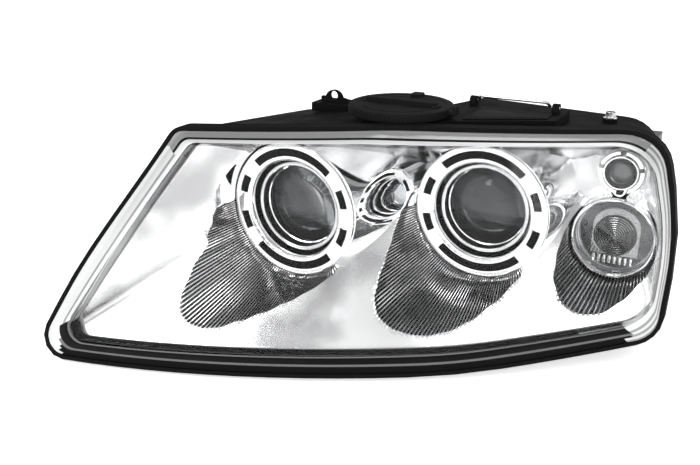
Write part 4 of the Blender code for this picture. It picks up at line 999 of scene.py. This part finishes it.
for name, x, body, node in (("knob_vertical", -66, "vertical_aim_knob", "aim_knob_vertical"), ("knob_side", 40, "side_aim_knob", "aim_knob_side")):
    lathe(name, [(0, 128), (3.9, 128), (4.2, 128.4), (4.2, 152.4), (10.8, 152.4), (11.6, 153.2), (12, 154.4), (12, 167.4), (11.4, 168.8), (10, 169.8),
                 (5.6, 170), (5.2, 166.5), (0, 166.5)], (x, 0, -84), "grey", body, seg=180, slot="grey", replaces=[node],
          wob=lambda r, a, q: (-0.8 * (0.5 + 0.5 * math.cos(18 * q)) if r > 11 and 153 < a < 169.2 else 0.0, 0.0), sharp=30)

# ---------------------------------------------------------------- roof furniture
prism("label_blank", [(113, 90), (176, 125), (176, 143), (113, 143)], "Z", PAD_Z + 0.3, PAD_Z + 1.1, "label", HOUSE, bevel=0.2, slot="label",
      replaces=["label_plate"])
prism("label_rim", [(116, 94.8), (173.4, 126.7), (173.4, 140.4), (116, 140.4)], "Z", PAD_Z + 1.12, PAD_Z + 1.4, "cap", HOUSE, bevel=0.12)
zc = PAD_Z + 4.6
rod("bail_wire", [(97.0, 154.5, zc), (103.9, 154.5, zc), (105.2, 154.1, zc + 0.6), (106.4, 151.6, zc + 3.0), (108.0, 148.9, zc + 4.6), (112.0, 148.0, zc + 5.0),
                  (138.0, 148.0, zc + 5.0), (164.0, 148.0, zc + 5.0), (168.0, 148.9, zc + 4.6), (169.6, 151.6, zc + 3.0), (170.8, 154.1, zc + 0.6),
                  (172.1, 154.5, zc), (179.0, 154.5, zc)], 1.3, "steel", "bail", seg=20, smooth=6, slot="steel", replaces=["wire_bail"], sharp=50)
for name, x in (("anchor_inner", 100), ("anchor_outer", 176)):
    ob = prism(name, [(150, PAD_Z + .3), (159, PAD_Z + .3), (159, PAD_Z + 5.4), (157.6, PAD_Z + 7.7), (154.5, PAD_Z + 8.3), (151.4, PAD_Z + 7.7), (150, PAD_Z + 5.4)],
               "X", x - 3, x + 3, "black", HOUSE, bevel=0.4, slot="black", replaces=["bail_" + name])
    cut(ob, [tool(*spin([(0, -5), (1.6, -5), (1.6, 5), (0, 5)], (x, 154.5, zc), 32, "X"))])
eye = [(-46, 64.8), (-14, 64.8), (-14, 68)] + [(-32 + 9.2 * math.cos(math.radians(a)), 68.6 + 8.2 * math.sin(math.radians(a))) for a in range(10, 171, 10)] + [(-46, 70)]
ob = prism("loop_ear", eye, "Y", 126, 130, "black", HOUSE, bevel=0.5, slot="black", replaces=["loop_bracket"])
cut(ob, [tool(*spin([(0, 120), (4.2, 120), (4.2, 135), (0, 135)], (-32, 0, 71.6), 40))])
lathe("bush_sleeve", [(2.6, 63.6), (2.9, 63.3), (6.0, 63.3), (6.2, 63.6), (6.2, 64.3), (4.6, 64.9), (4.4, 65.4), (4.4, 69.1), (4.1, 69.5), (2.9, 69.5), (2.6, 69.2)],
      (216, 190, 0), "steel", HOUSE, seg=64, axis="Z", slot="steel", replaces=["roof_bush"])

# ---------------------------------------------------------------- rear furniture
bx0, bx1, bz0, bz1 = 98.0, 190.0, -98.0, -55.0
fins = [((bx0 + 8, REAR_OUT + 0.3, bz0), (bx1 - 8, REAR_OUT + 17, bz1))]
fins += [((bx0 + 13 + 7.2 * k, REAR_OUT + 16, bz0 + 3), (bx0 + 16 + 7.2 * k, REAR_OUT + 24.6, bz1 - 3)) for k in range(10)]
boxes("ballast_finned", fins, "alu", HOUSE, bevel=0.9, slot="alloy", replaces=["ballast_box"])
for i, (x, z) in enumerate(((bx0 + 2.5, bz0 + 14), (bx0 + 2.5, bz1 - 14), (bx1 - 2.5, bz0 + 14), (bx1 - 2.5, bz1 - 14))):
    ob = lathe("screw_head_%d" % (i + 1), [(0, 3.6), (3.4, 3.6), (3.4, 5.8), (3.0, 6.6), (2.0, 7.15), (0, 7.2)], (x, REAR_OUT, z), "steel", HOUSE, seg=48,
               slot="steel", replaces=["ballast_screw_%d" % (i + 1)])
    cut(ob, [tool(*spin([(0, 5.2), (1.6, 5.2), (1.6, 9), (0, 9)], (x, REAR_OUT, z), 6))])
boxes("connector_pins", [((227.4 + 4.6 * k, REAR_OUT + 5.7, 23.4 + 5.4 * j), (228.6 + 4.6 * k, REAR_OUT + 17, 25.0 + 5.4 * j)) for k in range(5) for j in range(3)],
      "brass", HOUSE, bevel=0.25)
boxes("connector_key", [((235, REAR_OUT + 6, 42.0), (241, REAR_OUT + 22, 44.4)), ((222.6, REAR_OUT + 19, 28), (221.0, REAR_OUT + 22, 33))], "grey", HOUSE, bevel=0.4)
lathe("breather_hood", [(0, 0.3), (8, 0.3), (8, 3), (9.6, 3.2), (10, 3.8), (10, 10.6), (9.4, 11.8), (8.2, 12.5), (4, 12.5), (3.6, 12.0), (0, 12.0)],
      (236, REAR_OUT, -74), "rubber", HOUSE, seg=96, slot="rubber", replaces=["breather_cap"],
      wob=lambda r, a, q: (-0.7 * max(0.0, math.cos(8 * q)) if r > 9.5 and a < 10.9 else 0.0, 0.0))
ribs = []
for x in (-88, -50, 52):
    ribs.append(((x, REAR_IN - 0.5, -96), (x + 2, REAR_IN + 2.2, 40)))
for x in (92, 196, 262):
    ribs.append(((x, REAR_OUT - 0.5, -84 if x > 95 else -94), (x + 2, REAR_OUT + 2.2, 30 if x > 200 else 46)))
ribs.append(((-98, REAR_IN - 0.5, -60), (-52, REAR_IN + 2.0, -58)))
ribs.append(((196, REAR_OUT - 0.5, -48), (262, REAR_OUT + 2.0, -46)))
boxes("rear_ribs", ribs, "black", HOUSE, bevel=0.6)

# ---------------------------------------------------------------- roof height, read from the CAD housing
def roof_z(x, y):
    """Height of the housing roof at (x, y), read from the CAD housing itself."""
    o = Vector(((x - OX) / 1000, (y - OY) / 1000, 0.4))
    ok, loc, nor, idx = NODES["housing"].ray_cast(o, Vector((0, 0, -1)))
    return loc.z * 1000 + GROUND if ok else 0.0


# ---------------------------------------------------------------- materials of the CAD nodes that stay
KEEP = {"housing": "black", "lens_seal": "rubber", "reflector_bowl_inner": "satin", "reflector_bowl_outer": "satin", "bulb_inner": "steel",
        "bulb_outer": "steel", "shutter_inner": "steel", "shutter_outer": "steel", "module_carrier": "alu", "pivot_bracket_inner": "black",
        "pivot_bracket_outer": "black", "levelling_motor": "black2", "levelling_rod": "grey", "top_cap_seal": "rubber", "rear_cap_seal_inner": "rubber",
        "rear_cap_seal_outer": "rubber", "ballast_tray": "steel", "ballast_tray_outer": "steel", "connector_socket": "grey",
        "slide_rail_inner": "grey", "slide_rail_outer": "grey", "front_foot": "rubber"}
BEVEL = {"connector_socket": 0.6, "slide_rail_inner": 0.8, "slide_rail_outer": 0.8, "front_foot": 0.9, "ballast_tray": 0.4, "ballast_tray_outer": 0.4,
         "levelling_motor": 0.8, "pivot_bracket_inner": 0.6, "pivot_bracket_outer": 0.6}
for n, k in KEEP.items():
    ob = NODES[n]
    if not ob.material_slots:
        ob.data.materials.append(MAT[k])
    for s in ob.material_slots:
        s.material = MAT[k]
    if n in BEVEL:
        b = ob.modifiers.new("edge", "BEVEL")
        b.width, b.segments, b.limit_method, b.angle_limit = BEVEL[n] / 1000, 2, "ANGLE", math.radians(40)

# ---------------------------------------------------------------- floor, light, camera
me = bpy.data.meshes.new("floor")
me.from_pydata([(-30, -30, -0.0004), (30, -30, -0.0004), (30, 30, -0.0004), (-30, 30, -0.0004)], [], [(0, 1, 2, 3)])
floor = bpy.data.objects.new("floor", me)
bpy.context.scene.collection.objects.link(floor)
fm = bpy.data.materials.new("studio_floor")
fm.use_nodes = True
fb = fm.node_tree.nodes["Principled BSDF"]
fb.inputs["Base Color"].default_value = (0.92, 0.92, 0.92, 1)
fb.inputs["Roughness"].default_value = 0.6
fb.inputs["Emission Color"].default_value = (1, 1, 1, 1)
fb.inputs["Emission Strength"].default_value = 0.62
me.materials.append(fm)

world = bpy.data.worlds.new("studio")
bpy.context.scene.world = world
world.use_nodes = True
nt = world.node_tree
bg = nt.nodes["Background"]
tc = nt.nodes.new("ShaderNodeTexCoord")
sp = nt.nodes.new("ShaderNodeSeparateXYZ")
nt.links.new(tc.outputs["Generated"], sp.inputs["Vector"])
# bright overhead and in front, falling away behind and straight above
front_mr = nt.nodes.new("ShaderNodeMapRange")
front_mr.interpolation_type = "SMOOTHSTEP"
front_mr.inputs["From Min"].default_value = 0.20
front_mr.inputs["From Max"].default_value = -0.30
front_mr.inputs["To Min"].default_value = 0.0
front_mr.inputs["To Max"].default_value = 1.0
nt.links.new(sp.outputs["Y"], front_mr.inputs["Value"])
high = nt.nodes.new("ShaderNodeMapRange")
high.interpolation_type = "SMOOTHSTEP"
high.inputs["From Min"].default_value = 0.04
high.inputs["From Max"].default_value = 0.22
nt.links.new(sp.outputs["Z"], high.inputs["Value"])
# dark = high * (1 - front)
inv = nt.nodes.new("ShaderNodeMath")
inv.operation = "SUBTRACT"
inv.inputs[0].default_value = 1.0
nt.links.new(front_mr.outputs["Result"], inv.inputs[1])
mul = nt.nodes.new("ShaderNodeMath")
mul.operation = "MULTIPLY"
nt.links.new(high.outputs["Result"], mul.inputs[0])
nt.links.new(inv.outputs["Value"], mul.inputs[1])
cloud = nt.nodes.new("ShaderNodeTexNoise")
cloud.inputs["Scale"].default_value = 1.7
cloud.inputs["Detail"].default_value = 1.0
nt.links.new(tc.outputs["Generated"], cloud.inputs["Vector"])
cl = nt.nodes.new("ShaderNodeMapRange")
cl.inputs["From Min"].default_value = 0.38
cl.inputs["From Max"].default_value = 0.62
cl.inputs["To Min"].default_value = 0.72
cl.inputs["To Max"].default_value = 1.0
nt.links.new(cloud.outputs["Fac"], cl.inputs["Value"])
mixw = nt.nodes.new("ShaderNodeMix")
mixw.data_type = "FLOAT"
nt.links.new(mul.outputs["Value"], mixw.inputs["Factor"])
nt.links.new(cl.outputs["Result"], mixw.inputs["A"])
mixw.inputs["B"].default_value = 0.07
nt.links.new(mixw.outputs["Result"], bg.inputs["Color"])
bg.inputs["Strength"].default_value = 1.15


def area(name, loc, target, sx, sy, power):
    d = bpy.data.lights.new(name, "AREA")
    d.shape, d.size, d.size_y, d.energy = "RECTANGLE", sx, sy, power
    o = bpy.data.objects.new(name, d)
    o.location = loc
    o.rotation_euler = (Vector(target) - Vector(loc)).to_track_quat("-Z", "Y").to_euler()
    bpy.context.scene.collection.objects.link(o)
    return o


area("key", (-0.9, -1.5, 1.9), (0, 0, 0.1), 1.6, 1.2, 38)
area("fill", (1.6, -0.7, 1.2), (0, 0, 0.1), 0.9, 1.4, 14)
area("back", (0.2, 1.9, 1.6), (0, 0, 0.1), 2.4, 0.5, 14)

cd = bpy.data.cameras.new("camera")
cd.lens, cd.sensor_width, cd.sensor_fit = 41.914, 36.0, "HORIZONTAL"
cd.clip_start = 0.01
cam = bpy.data.objects.new("camera", cd)
cam.location = (0.294846, -0.614867, 0.355412)
cam.rotation_euler = (math.radians(69.0), 0.0, math.radians(28.4))
bpy.context.scene.collection.objects.link(cam)
bpy.context.scene.camera = cam
bpy.context.scene.view_settings.view_transform = "Standard"

bpy.context.view_layer.update()
